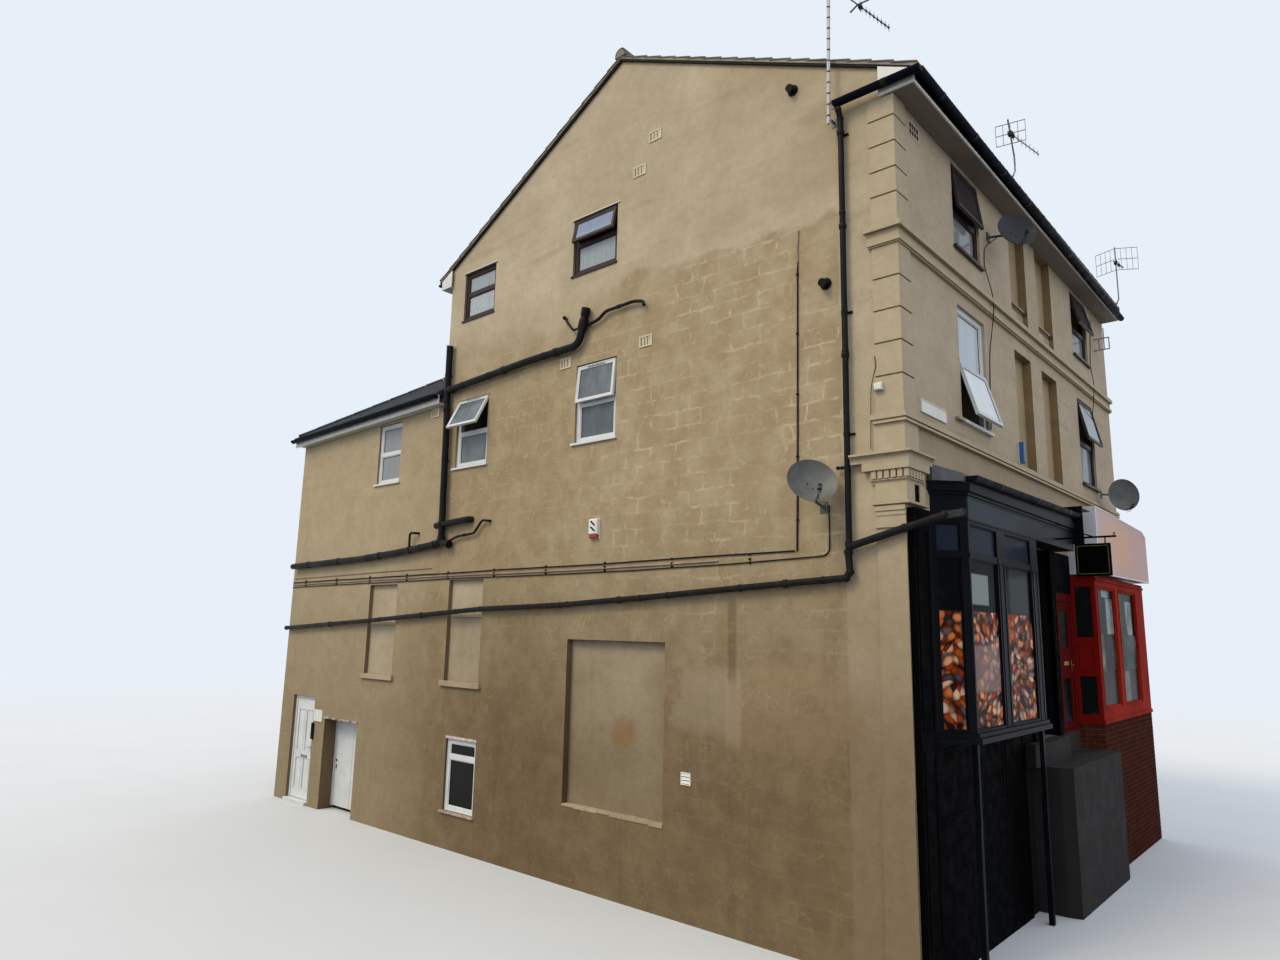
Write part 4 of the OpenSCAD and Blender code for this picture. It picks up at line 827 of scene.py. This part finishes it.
def dress_rear_doors():
    leaf, w = side_turn(13.653, 0.083, 0.072), 0.764
    rails, metal = Shape(), Shape()
    for x in (0.095, w / 2 + 0.035):
        for z0, z1 in ((0.18, 0.80), (0.95, 1.77)):
            rails.ring(x - 0.012, x + w / 2 - 0.118, z0 - 0.012, z1 + 0.012, 0.018, -0.005, 0.0, leaf)
            rails.box((x + 0.03, 0.006, z0 + 0.03), (x + w / 2 - 0.16, 0.0132, z1 - 0.03), leaf)
    rails.make("rear_door_mouldings", "upvc_white", body=PANELLED, bevel=0.002)
    metal.boxes(((0.30, -0.006, 0.805), (0.56, 0.0, 0.860)), ((0.31, -0.010, 0.815), (0.55, -0.006, 0.850)),
                ((0.700, -0.008, 0.90), (0.735, 0.0, 1.12)), turn=leaf)
    metal.tube([(0.717, -0.006, 1.04), (0.717, -0.035, 1.04), (0.60, -0.040, 1.035)], 0.008, 10, leaf)
    metal.make("rear_door_handle_and_flap", "metal_grey", "dull_steel", PANELLED, bevel=0.001)
    # plain door: two old locks and a strip over its joint
    plain, locks, strips = side_turn(12.315, 0.068, 0.270), Shape(), Shape()
    locks.tube([(0.06, -0.014, 0.86), (0.06, 0.0, 0.86)], 0.022, 16, plain)
    locks.box((0.045, -0.005, 0.70), (0.080, 0.0, 0.78), plain)
    locks.make("plain_door_locks", "plastic_black", "rubber_gasket", PLAIN, bevel=0.001)
    strips.box((0.612, -0.005, 0.012), (0.634, 0.0, 1.612), plain)
    strips.make("plain_door_strips", "upvc_white", body=PLAIN, bevel=0.002)
    # the fixed panel beside it
    panel, bead, handle = side_turn(12.373, 0.060, 0.265), Shape(), Shape()
    bead.ring(0.915, 1.215, 0.04, 1.66, 0.022, -0.010, 0.0, panel)
    bead.make("recess_panel_bead", "upvc_white", bevel=0.002)
    handle.box((0.955, -0.016, 1.02), (0.985, 0.0, 1.16), panel)
    handle.make("recess_panel_handle", "plastic_black", "rubber_gasket", bevel=0.001)


dress_windows()
render_ledges()
dress_rear_doors()

# Pipes and gutters
RAIN, SOIL, WASTE = -0.075, -0.090, -0.060
SOIL_RADIUS, DRAIN_RADIUS, DOWNPIPE_RADIUS = 0.060, 0.041, 0.037
DOWNPIPE = on_side(RAIN, (0.662, 10.090), (0.664, 8.800), (0.668, 7.000), (0.676, 4.565))
DRAIN = on_side(RAIN, (0.723, 4.271), (2.205, 4.181), (3.896, 4.071), (5.518, 3.979), (7.461, 3.920),
                (10.838, 3.703), (14.190, 3.518))
STACK = on_side(SOIL, (8.762, 8.790), (8.751, 7.749), (8.721, 7.355), (8.680, 5.850), (8.663, 5.090),
                (9.948, 4.985), (11.355, 4.909), (14.130, 4.850))
UPPER_RUN = on_side(SOIL, (8.740, 7.925), (6.458, 8.050), (5.300, 8.070), (5.211, 8.386), (5.155, 8.640))
LOW_BRANCH = [*on_side(SOIL, (8.700, 5.420), (7.940, 5.466)), (-0.002, 7.890, 5.468)]
WASTES = [
    ([*on_side(WASTE, (8.523, 5.102), (8.238, 5.184), (7.758, 5.217), (7.557, 5.429), (7.410, 5.409)),
      (-0.002, 7.385, 5.409)], 0.021),
    ([*on_side(SOIL, (9.660, 5.020), (9.659, 5.328), (9.510, 5.319)), (-0.002, 9.485, 5.319)], 0.022),
    ([*on_side(WASTE, (5.215, 8.372), (5.469, 8.362), (5.660, 8.600)), (-0.002, 5.685, 8.630)], 0.019),
    (on_side(WASTE, (5.170, 8.372), (4.900, 8.412), (4.745, 8.514), (4.154, 8.530), (3.975, 8.484),
             (3.950, 8.415)), 0.026),
]


def between(a, b, far):
    """The place on the line from a to b at that share of the way, and the line's direction."""
    a, b = Vector(a), Vector(b)
    return a.lerp(b, far), (b - a).normalized()


def collars(shape, path, radius, places, length=0.07):
    """Sockets on a pipe, each at a share of the way along one stretch of its path."""
    for index, far in places:
        p, along = between(path[index], path[index + 1], far)
        half, shoulder = along * length / 2, along * length * 0.36
        shape.tube([p - half, p - shoulder, p + shoulder, p + half],
                   [radius + 0.004, radius + 0.011, radius + 0.011, radius + 0.004], 20)


def clips(shape, path, radius, places):
    """Bands round a pipe, with a foot that goes back to the side wall."""
    for index, far in places:
        p, along = between(path[index], path[index + 1], far)
        shape.tube([p - along * 0.015, p + along * 0.015], radius + 0.005, 20)
        shape.box((p.x, p.y - 0.014, p.z - 0.014), (0.0, p.y + 0.014, p.z + 0.014))


def soil_pipework():
    """The soil stack, its sloping branches and wastes, with swept bends, sockets and bands, and the flues."""
    pipes, fittings, pale = Shape(), Shape(), Shape()
    pipes.tube(rounded(STACK, 0.17), SOIL_RADIUS, 24)
    pipes.tube(rounded(UPPER_RUN, 0.20), SOIL_RADIUS, 24)
    pipes.tube(rounded(LOW_BRANCH, 0.08), 0.055, 24)
    pipes.tube(on_side(SOIL, (8.844, 5.407), (8.700, 5.416)), 0.056, 24)
    pipes.tube(on_side(SOIL, (8.663, 5.110), (8.430, 5.056)), SOIL_RADIUS, 24)
    for path, radius in WASTES:
        pipes.tube(rounded(path, 0.06), radius, 16)
    pipes.make("soil_pipe_runs", "plastic_black", replaces=["soil_pipes"], smooth=True)
    collars(fittings, STACK, SOIL_RADIUS,
            [(1, 0.45), (3, 0.55), (3, 0.90), (4, 0.16), (4, 0.75), (5, 0.5), (6, 0.3), (6, 0.75)], 0.10)
    collars(fittings, UPPER_RUN, SOIL_RADIUS, [(0, 0.05), (0, 0.70), (1, 0.55), (3, 0.10), (3, 0.75)], 0.11)
    clips(fittings, STACK, SOIL_RADIUS, [(0, 0.55), (2, 0.5), (4, 0.5), (5, 0.8), (6, 0.95)])
    clips(fittings, UPPER_RUN, SOIL_RADIUS, [(0, 0.2), (0, 0.52), (1, 0.3)])
    fittings.tube(on_side(SOIL, (8.462, 5.064), (8.418, 5.053)), 0.071, 24)
    fittings.tube(on_side(SOIL, (5.232, 8.30), (5.225, 8.335), (5.190, 8.455), (5.180, 8.49)),
                  [0.066, 0.078, 0.078, 0.066], 24)
    fittings.tube(on_side(SOIL, (5.163, 8.60), (5.152, 8.655)), [0.074, 0.070], 24)
    for start, finish, radius in (((5.672, 8.612), (5.690, 8.640), 0.030), ((4.50, 8.521), (4.44, 8.523), 0.032),
                                  ((8.06, 5.196), (8.00, 5.200), 0.027)):
        fittings.tube(on_side(WASTE, start, finish), radius, 16)
    # flues: a plate on the wall and a nozzle
    for y, z in ((1.390, 10.850), (0.949, 7.963)):
        fittings.tube([(-0.014, y, z), (0.0, y, z)], 0.078, 24)
        fittings.tube([(-0.112, y, z - 0.014), (-0.050, y, z - 0.004), (-0.048, y, z - 0.004), (-0.014, y, z)],
                      [0.054, 0.052, 0.062, 0.066], 24)
    fittings.make("soil_pipe_fittings", "plastic_black", replaces=["soil_pipes"], smooth=True)
    pale.tube(on_side(SOIL, (8.7622, 8.785), (8.7618, 8.812)), 0.068, 24)
    pale.make("soil_stack_cap", "box_white", replaces=["soil_pipes"], smooth=True)


def drain_fittings():
    """Collars and clips of the downpipe and of the sloping drain that it feeds."""
    shape = Shape()
    collars(shape, DOWNPIPE, DOWNPIPE_RADIUS, [(0, 0.15), (1, 0.1), (2, 0.02), (2, 0.96)])
    for far, index in ((0.16, 0), (0.72, 1), (0.42, 2)):
        p, along = between(DOWNPIPE[index], DOWNPIPE[index + 1], far)
        shape.tube([p - along * 0.013, p + along * 0.013], DOWNPIPE_RADIUS + 0.005, 20)
        shape.box((-0.020, p.y - 0.075, p.z - 0.013), (0.0, p.y + 0.075, p.z + 0.013))
    collars(shape, DRAIN, DRAIN_RADIUS, [(0, 0.55), (2, 0.25), (4, 0.5), (5, 0.45)])
    clips(shape, DRAIN, DRAIN_RADIUS, [(0, 0.2), (1, 0.7), (2, 0.9), (4, 0.2), (4, 0.9), (5, 0.6)])
    shape.make("drain_collars_and_clips", "plastic_black", smooth=True)


def gutter_fittings():
    """Unions round the half round gutters. Each run: its ends, radius and how many it has."""
    shape = Shape()
    for start, finish, radius, count in (((-0.070, -0.370, 10.345), (10.039, -0.370, 10.2215), 0.060, 9),
                                         ((-0.130, 0.715, 10.310), (-0.130, -0.425, 10.310), 0.066, 1),
                                         ((-0.060, 9.252, 10.160), (10.050, 9.252, 10.160), 0.060, 9),
                                         ((0.950, -0.400, 5.512), (5.428, -0.400, 5.567), 0.070, 3)):
        over, under = half_ring(radius + 0.005, radius * 0.99)
        for k in range(count):
            p, along = between(start, finish, (k + 0.6) / count)
            across = Vector((-along.y, along.x, 0)).normalized()
            shape.loft([[q + across * h - Vector((0, 0, v)) for h, v in over + under]
                        for q in (p - along * 0.035, p + along * 0.035)])
    shape.make("gutter_unions", "plastic_black", smooth=True)


def cables():
    """Dark cables and pale conduits along and up the side wall, with clips, and two that hang in front."""
    dark, pale = Shape(), Shape()

    def run(shape, points, radius, x=-0.013):
        path = []
        for (y0, z0), (y1, z1) in zip(points, points[1:]):
            count = max(1, round(abs(y1 - y0) / 0.55))
            path += [(x, y0 + (y1 - y0) * k / count, z0 + (z1 - z0) * k / count + RANDOM.uniform(-0.004, 0.004))
                     for k in range(count)]
        shape.tube(rounded(path + [(x, *points[-1])], 0.12), radius, 10)

    run(dark, [(14.20, 4.500), (11.417, 4.527), (8.641, 4.552), (6.552, 4.574), (4.748, 4.580), (2.889, 4.607),
               (1.44, 4.624)], 0.010)
    run(pale, [(14.20, 4.452), (8.636, 4.504), (6.547, 4.509), (4.745, 4.512), (2.60, 4.545)], 0.011)
    run(dark, [(14.20, 4.400), (8.631, 4.451), (4.743, 4.461), (2.888, 4.487), (1.501, 4.526), (0.96, 4.548),
               (0.960, 5.150)], 0.008)
    run(pale, [(14.15, 4.587), (9.018, 4.660)], 0.007)
    run(dark, [(1.402, 4.62), (1.384, 5.40), (1.372, 6.20), (1.362, 7.00), (1.352, 7.80), (1.345, 8.36)], 0.008)
    run(pale, [(1.345, 8.36), (1.352, 8.50), (1.330, 8.80)], 0.010)
    run(pale, [(1.424, 4.62), (1.408, 5.40), (1.395, 6.20), (1.384, 7.00), (1.372, 7.80), (1.366, 8.30)], 0.004,
        -0.006)
    run(dark, [(0.315, 6.875), (0.299, 6.761), (0.370, 6.516), (0.393, 5.757)], 0.004, -0.030)
    for k in range(10):
        y = 2.1 + k * 1.28
        for z in (4.612 - k * 0.0090, 4.548 - k * 0.0078, 4.500 - k * 0.0078):
            dark.box((-0.026, y - 0.012, z - 0.014), (0.0, y + 0.012, z + 0.014))
    for k in range(5):
        y, z = 1.376 - k * 0.010, 5.0 + k * 0.80
        dark.box((-0.025, y, z - 0.007), (0.0, y + 0.036, z + 0.007))
    for points in ([(3.000, -0.20, 9.380), (3.000, -0.012, 9.300), (2.956, -0.012, 8.980), (3.06, -0.075, 8.560),
                    (3.08, -0.075, 8.300), (3.00, -0.012, 7.700), (2.920, -0.012, 7.060), (2.877, -0.012, 6.500)],
                   [(9.033, -0.012, 9.971), (8.749, -0.012, 8.933), (8.66, -0.075, 8.55), (8.60, -0.075, 8.30),
                    (8.45, -0.012, 7.58), (8.19, -0.012, 6.38)]):
        dark.tube(rounded(points, 0.12), 0.007, 8)
    dark.make("dark_cables", "plastic_black", replaces=["cable_runs"], smooth=True)
    pale.make("pale_conduits", "plastic_black", "painted_cable", replaces=["cable_runs"], smooth=True)


soil_pipework()
drain_fittings()
gutter_fittings()
cables()

# Vents and boxes


def vents():
    bricks, white, slots, grille = Shape(), Shape(), Shape(), Shape()
    w, h, face = 0.125, 0.088, -0.014
    for y, z in ((3.840, 11.180), (4.147, 10.696), (3.949, 7.869), (5.669, 7.862), (9.213, 7.596)):
        turn = side_turn(y + w, z - h)
        bricks.box((0, -0.004, 0), (2 * w, 0.0, 2 * h), turn)
        bricks.ring(0, 2 * w, 0, 2 * h, 0.020, face, -0.004, turn)
        for k in range(1, 4):
            x = 2 * w * k / 4
            slots.box((x - 0.030, -0.0065, 0.026), (x - 0.018, -0.003, 2 * h - 0.026), turn)
            bricks.box((x - 0.009, face + 0.002, 0.020), (x + 0.009, -0.004, 2 * h - 0.020), turn)
    bricks.make("air_bricks", "clay_vent", replaces=["wall_vents"], bevel=0.002)
    turn = side_turn(3.180, 1.665)
    white.ring(0, 0.160, 0, 0.157, 0.012, -0.018, 0, turn)
    slots.box((0.010, -0.006, 0.010), (0.150, 0.0, 0.147), turn)
    for k in range(3):
        z = 0.018 + k * 0.045
        white.loft([[(x, -0.017, z), (x, -0.013, z), (x, -0.006, z + 0.036), (x, -0.010, z + 0.036)]
                    for x in (0.012, 0.148)], turn)
    white.make("louvre_vent", "box_white", replaces=["wall_vents"], bevel=0.001)
    slots.box((0.470, -0.004, 9.895), (0.751, 0.0, 10.067))
    slots.make("vent_shadows", "plastic_black", "rubber_gasket", replaces=["wall_vents"])
    grille.ring(0.456, 0.765, 9.881, 10.081, 0.016, -0.008, 0.0)
    for x in (0.540, 0.610, 0.680):
        grille.box((x - 0.005, -0.007, 9.895), (x + 0.005, -0.003, 10.067))
    grille.box((0.470, -0.007, 9.975), (0.751, -0.003, 9.987))
    grille.make("front_grille", "clay_vent", replaces=["wall_vents"], bevel=0.001)


def boxes():
    """The alarm boxes, the lamp, the name board, the plate and the keypad, each with its parts."""
    white, dark, red, blue = Shape(), Shape(), Shape(), Shape()
    # side alarm: tapered cover with two marks on a back plate, strobe below
    white.box((-0.012, 4.783, 4.963), (0.0, 4.985, 5.270))
    white.cover(4.788, 4.980, 5.020, 5.262, ((-0.012, 0.0), (-0.055, 0.004), (-0.070, 0.016)))
    for z in (5.070, 5.155):
        dark.loft([[(x, 4.815, z), (x, 4.860, z), (x, 4.945, z + 0.072), (x, 4.900, z + 0.072)]
                   for x in (-0.0718, -0.0695)])
    red.cover(4.800, 4.968, 4.966, 5.018, ((-0.012, 0.0), (-0.050, 0.004), (-0.064, 0.014)), top=0)
    # front alarm, narrow and deep
    white.box((4.046, -0.012, 6.205), (4.138, 0.0, 6.550))
    blue.cover(4.050, 4.134, 6.215, 6.540, ((-0.012, 0.0), (-0.070, 0.004), (-0.081, 0.014)), front=True)
    # lamp box on the quoins, name board in a thin frame, plate and keypad
    white.cover(0.214, 0.320, 6.445, 6.540, ((-0.023, 0.0), (-0.066, 0.002), (-0.079, 0.012)))
    white.box((0.506, -0.014, 6.272), (1.244, 0.0, 6.415))
    white.ring(0.496, 1.254, 6.262, 6.425, 0.012, -0.020, 0.0)
    white.box((-0.012, 12.475, 1.672), (0.0, 12.788, 1.890))
    white.ring(0, 0.325, 0, 0.230, 0.010, -0.016, 0.0, side_turn(12.794, 1.666))
    dark.box((-0.030, 12.762, 1.306), (0.0, 12.815, 1.629))
    dark.box((-0.048, 12.766, 1.312), (-0.030, 12.811, 1.623))
    white.make("box_covers", "box_white", replaces=["wall_boxes"], bevel=0.003)
    dark.make("keypad_and_marks", "plastic_black", "rubber_gasket", replaces=["wall_boxes"], bevel=0.001)
    red.make("alarm_strobe", "paint_red", "red_lens", replaces=["wall_boxes"], bevel=0.002)
    blue.make("front_alarm_cover", "paint_navy", "blue_cover", replaces=["wall_boxes"], bevel=0.002)


vents()
boxes()

# Shopfronts


def brick_courses():
    """Bricks of the riser under the red shop window, in stretcher bond with recessed joints."""
    shape, joints = Shape(), Shape()
    brick, height, joint, course = 0.225, 0.066, 0.005, 0.0762
    a, b, c = Vector((6.290, 0, 0)), Vector((6.508, -0.326, 0)), Vector((10.050, -0.326, 0))
    for start, finish in ((a, b), (b, c)):
        along = (finish - start).normalized()
        out = Vector((along.y, -along.x, 0))
        length = (finish - start).length
        for row in range(30):
            z = 0.004 + row * course
            top = z + height
            u = -brick / 2 if row % 2 else 0.0
            while u < length:
                u0, u1 = max(u + joint, 0.0), min(u + brick - joint, length)
                if u1 - u0 > 0.03:
                    rings = []
                    for far in (-0.012, RANDOM.uniform(-0.001, 0.0)):
                        p, q = start + along * u0 + out * far, start + along * u1 + out * far
                        rings.append([(p.x, p.y, z), (q.x, q.y, z), (q.x, q.y, top), (p.x, p.y, top)])
                    shape.loft(rings)
                u += brick
        back = [start - out * 0.020, finish - out * 0.020, finish - out * 0.006, start - out * 0.006]
        joints.loft([[(p.x, p.y, z) for p in back] for z in (0.0, 2.2895)])
    joints.loft([[(6.31, 0.0, z), (6.53, -0.300, z), (10.05, -0.300, z), (10.05, 0.0, z)]
                 for z in (0.0, 2.289)])
    shape.make("riser_bricks", "brick_brown", replaces=["brick_riser"], bevel=0.002)
    joints.make("riser_mortar", "stone_grey", "dark_mortar", replaces=["brick_riser"])


def bay_details():
    beads, edge, panels, door, brass = Shape(), Shape(), Shape(), Shape(), Shape()
    for z0, z1 in ((2.580, 4.540), (4.615, 4.950)):
        for x0, x1 in ((1.005, 1.925), (2.210, 3.240)):
            beads.ring(x0, x1, z0, z1, 0.016, -0.304, -0.2905)
        beads.ring(0.060, 0.352, 0, z1 - z0, 0.014, 0.016, 0.0295, shift(0.650, 0, z0) @ turned(-45, "Z"))
    # raised edge of the fascia board and its ends
    for z0, z1 in ((5.262, 5.288), (5.010, 5.034)):
        edge.box((0.985, -0.327, z0), (5.425, -0.320, z1))
    for x in (0.985, 5.395):
        edge.box((x, -0.327, 5.034), (x + 0.026, -0.320, 5.262))
    # mouldings at the posts and the transom
    for x0, x1 in ((0.985, 1.003), (1.927, 2.208), (3.242, 3.530)):
        edge.box((x0, -0.328, 4.545), (x1, -0.320, 4.610))
    for x in (1.975, 2.140, 3.30, 3.46):
        edge.box((x, -0.327, 2.56), (x + 0.018, -0.320, 4.545))
    beads.make("bay_glazing_beads", "paint_navy", bevel=0.001)
    edge.make("bay_mouldings", "paint_navy", bevel=0.003)
    # framed panels of the black boarding
    panels.ring(0.055, 0.365, 2.60, 4.80, 0.030, -0.088, -0.080)
    panels.ring(0.055, 0.365, 0.40, 2.40, 0.030, -0.088, -0.080)
    for x0, x1 in ((0.48, 1.60), (1.70, 2.60), (2.68, 3.40)):
        panels.ring(x0, x1, 1.62, 2.38, 0.030, -0.038, -0.030)
    for x0, x1 in ((3.905, 4.050), (5.100, 5.235)):
        panels.ring(x0, x1, 2.40, 4.85, 0.022, -0.067, -0.060)
    panels.make("panel_mouldings", "paint_black", bevel=0.003)
    # shop door: rails, pull handle and letter flap
    door.ring(4.200, 4.940, 3.000, 4.500, 0.020, 0.112, 0.129)
    door.ring(4.220, 4.920, 2.470, 2.830, 0.020, 0.092, 0.1145)
    door.make("shop_door_mouldings", "paint_navy", bevel=0.002)
    brass.box((4.100, 0.093, 3.18), (4.140, 0.100, 3.42))
    brass.tube([(4.120, 0.098, 3.20), (4.120, 0.060, 3.21), (4.120, 0.060, 3.39), (4.120, 0.098, 3.40)], 0.008, 10)
    brass.box((4.45, 0.093, 2.89), (4.70, 0.100, 2.95))
    brass.make("shop_door_handle", "metal_grey", "aged_brass", bevel=0.001)


def red_shop_details():
    trim, leaf, metal, rim = Shape(), Shape(), Shape(), Shape()
    for x0, x1 in ((6.660, 7.800), (8.080, 9.370)):
        trim.ring(x0, x1, 2.525, 4.500, 0.030, -0.318, -0.2905)
        trim.ring(x0 - 0.030, x1 + 0.030, 2.495, 4.530, 0.022, -0.337, -0.330)
    trim.box((6.50, -0.352, 4.600), (10.05, -0.330, 4.640))
    turn = shift(6.280, 0, 0) @ Matrix.Rotation(math.atan2(-0.330, 0.220), 4, "Z")
    for z0, z1 in ((2.420, 3.050), (3.650, 4.500)):
        trim.ring(0.060, 0.337, z0, z1, 0.016, 0.008, 0.0245, turn)
    trim.ring(0.075, 0.322, 3.130, 3.570, 0.020, -0.007, 0.0, turn)
    trim.make("red_shop_trim", "paint_red", bevel=0.003)
    # the hinged door's glazing beads, middle panel, handle and flap
    for z0, z1 in ((2.330, 3.030), (3.480, 4.100)):
        leaf.ring(5.558, 5.982, z0, z1, 0.016, -0.008, 0.0045)
    leaf.ring(5.440, 6.080, 3.110, 3.420, 0.018, -0.018, -0.012)
    leaf.make("red_door_mouldings", "paint_red", body=RED, bevel=0.002)
    metal.box((6.045, -0.018, 3.12), (6.075, -0.012, 3.30))
    metal.tube([(6.060, -0.016, 3.22), (6.060, -0.050, 3.22), (5.960, -0.052, 3.22)], 0.008, 10)
    metal.box((5.640, -0.018, 3.22), (5.900, -0.012, 3.28))
    metal.make("red_door_handle", "metal_grey", "aged_brass", RED, bevel=0.001)
    # rim of the sign board
    for ends in (((6.30, 4.690), (10.05, 4.735)), ((6.30, 5.796), (9.75, 5.706)), ((9.75, 5.706), (10.04, 5.606))):
        rim.loft([[(x, -0.470, z), (x, -0.462, z), (x, -0.462, z + 0.020), (x, -0.470, z + 0.020)]
                  for x, z in ends])
    rim.make("sign_board_rim", "paint_white")


def sign_details():
    """A thin gold line on both faces of the hanging sign, and its bracket's stay and curl."""
    gold, black = Shape(), Shape()
    y0, y1, z0, z1, t = -1.010, -0.594, 4.566, 4.976, 0.006
    for x0, x1 in ((4.5125, 4.515), (4.548, 4.5505)):
        gold.boxes(((x0, y0, z0), (x1, y1, z0 + t)), ((x0, y0, z1 - t), (x1, y1, z1)),
                   ((x0, y0, z0), (x1, y0 + t, z1)), ((x0, y1 - t, z0), (x1, y1, z1)))
    gold.make("sign_gold_line", "metal_grey", "gold_line")
    x = 4.531
    black.tube([(x, -0.322, 5.330), (x, -0.46, 5.28), (x, -0.68, 5.16), (x, -0.82, 5.105)], 0.009, 10)
    black.tube([(x, -1.095 - 0.012 * c, 5.125 + 0.03 * s) for c, s in arc(0, math.degrees(4.8), 8)], 0.006, 8)
    black.make("sign_bracket_stay", "paint_black", smooth=True)


brick_courses()
bay_details()
red_shop_details()
sign_details()

# Dishes and aerials


def dish_details():
    rims, bolts = Shape(), Shape()
    # each dish: its centre, pitch and radius
    for place, pitch, r in (((-0.300, 1.051, 5.345), 65, 0.302), ((3.252, -0.350, 9.473), 75, 0.285),
                            ((8.720, -0.350, 6.305), 88, 0.300)):
        turn = shift(*place) @ turned(-135, "Z") @ turned(pitch, "Y")
        arm, lip = r * 0.94, r - 0.006
        rims.tube([(c * lip, s * lip, r / 2.4 - 0.001) for c, s in arc(0, 360, 48)], 0.004, 6, turn)
        for x, y in ((0.03, 0.03), (-0.03, -0.03)):
            height = (x * x + y * y) / (2.4 * r) + 0.006
            bolts.tube([(x, y, height - 0.002), (x, y, height + 0.006)], 0.009, 8, turn)
        # stiffening plate behind, and the receiver's throat and cable on the arm
        bolts.box((-0.07, -0.05, -0.030), (0.07, 0.05, -0.003), turn)
        bolts.tube([(arm - 0.020, 0, 0.330), (arm - 0.055, 0, 0.380)], [0.030, 0.026], 16, turn)
        bolts.tube([(arm + 0.02, 0, 0.30), (arm + 0.055, 0, 0.24), (arm + 0.050, 0, 0.15)], 0.004, 8, turn)
    rims.make("dish_rims", "metal_grey", "dish_enamel_and_shade", smooth=True)
    bolts.make("dish_bolts_and_receivers", "plastic_black", smooth=True)


def aerial_details():
    dark, pale = Shape(), Shape()
    # bands of the gable's leaning pole
    lean = math.radians(1.1)
    foot, up = Vector((-0.150, 0.788, 10.034)), Vector((0, -math.sin(lean), math.cos(lean)))
    for k in range(13):
        p = foot + up * (0.10 + k * 0.155)
        dark.tube([p, p + up * 0.020], 0.0235, 16)
    # clamps of the booms, and the folded loops that the cables leave
    for x, y, z in ((-0.150, 0.749, 12.050), (3.4845, -0.330, 11.230), (9.655, -0.430, 11.300)):
        dark.box((x - 0.035, y - 0.030, z - 0.035), (x + 0.035, y + 0.030, z + 0.035))
    for x, y, z in ((0.500, 0.6245, 12.050), (3.555, -0.347, 11.230), (9.800, -0.455, 11.300)):
        dark.box((x - 0.028, y - 0.022, z - 0.030), (x + 0.028, y + 0.022, z + 0.020))
        pale.tube([(x + 0.018 * c, y - 0.002, z + 0.075 * s) for c, s in arc(0, 360, 20)], 0.004, 6)
    # clips of the pole aerial's directors
    for i in range(8):
        x, y, z = 0.540 + i * 0.084, 0.617 - i * 0.0156, 12.050
        dark.box((x - 0.010, y - 0.012, z - 0.012), (x + 0.010, y + 0.012, z + 0.014))
    dark.make("aerial_clamps", "plastic_black", bevel=0.001)
    pale.make("aerial_loops", "metal_grey", "aerial_metal", smooth=True)


dish_details()
aerial_details()

# Floor, lights and surroundings
SKY = (0.80, 0.87, 0.95, 1)
FLOOR_HALF = 200.0


def seen_directly(tree):
    """1 for rays from the camera, reflections and glass, 0 for the light on the object."""
    path = tree.nodes.new("ShaderNodeLightPath")
    result = path.outputs["Is Camera Ray"]
    for name in ("Is Glossy Ray", "Is Transmission Ray"):
        most = tree.nodes.new("ShaderNodeMath")
        most.operation = "MAXIMUM"
        tree.links.new(result, most.inputs[0])
        tree.links.new(path.outputs[name], most.inputs[1])
        result = most.outputs[0]
    return result


def mix_shaders(tree, factor, a, b, target):
    mix = tree.nodes.new("ShaderNodeMixShader")
    for source, socket in zip((factor, a, b), mix.inputs):
        tree.links.new(source, socket)
    if target:
        tree.links.new(mix.outputs[0], target)
    return mix.outputs[0]


def add_floor():
    """Pale to the eye, fading into the sky far away, and as dull as a street in the light it throws back."""
    n = Nodes("pale_floor")
    n.tint = n.mix(n.noise(0.5, 3), (0.50, 0.50, 0.49), (0.54, 0.54, 0.53))
    n.finish(0.95, n.bump(n.noise(30, 3), 0.2, 0.002), spec=0.0)
    street = n.node("BsdfDiffuse", {0: (0.12, 0.12, 0.115, 1)})
    far = n.remap(n.node("VectorMath", {0: n.place}, 1, operation="LENGTH"), 14.0, 60.0)
    shown = mix_shaders(n.tree, far, n.shader.outputs[0], n.node("Emission", {0: SKY}), None)
    output = next(node for node in n.tree.nodes if node.type == "OUTPUT_MATERIAL")
    mix_shaders(n.tree, seen_directly(n.tree), street, shown, output.inputs[0])
    mesh = bpy.data.meshes.new("floor")
    a, b = -FLOOR_HALF, FLOOR_HALF
    mesh.from_pydata([(a, a, 0), (b, a, 0), (b, b, 0), (a, b, 0)], [], [(0, 1, 2, 3)])
    mesh.materials.append(n.material)
    floor = add_object("floor", mesh)


def add_sun(name, heading, height, strength, width, color):
    data = bpy.data.lights.new(name, "SUN")
    data.energy = strength
    data.angle = math.radians(width)
    data.color = color
    lamp = add_object(name, data)
    a, b = math.radians(heading), math.radians(height)
    towards = Vector((math.sin(a) * math.cos(b), -math.cos(a) * math.cos(b), math.sin(b)))
    lamp.rotation_mode = "QUATERNION"
    lamp.rotation_quaternion = towards.to_track_quat("Z", "Y")


def add_world():
    world = bpy.data.worlds.new("sky")
    bpy.context.scene.world = world
    world.use_nodes = True
    tree = world.node_tree
    tree.nodes.clear()
    lights = []
    for color, strength in (((0.80, 0.87, 1.0, 1), 1.45), (SKY, 1.0)):
        light = tree.nodes.new("ShaderNodeBackground")
        light.inputs[0].default_value, light.inputs[1].default_value = color, strength
        lights.append(light.outputs[0])
    mix_shaders(tree, seen_directly(tree), *lights, tree.nodes.new("ShaderNodeOutputWorld").inputs[0])


add_floor()
add_sun("key_light", -110, 48, 1.75, 22, (1.0, 0.87, 0.58))
add_world()
bpy.context.scene.view_settings.view_transform = "Standard"
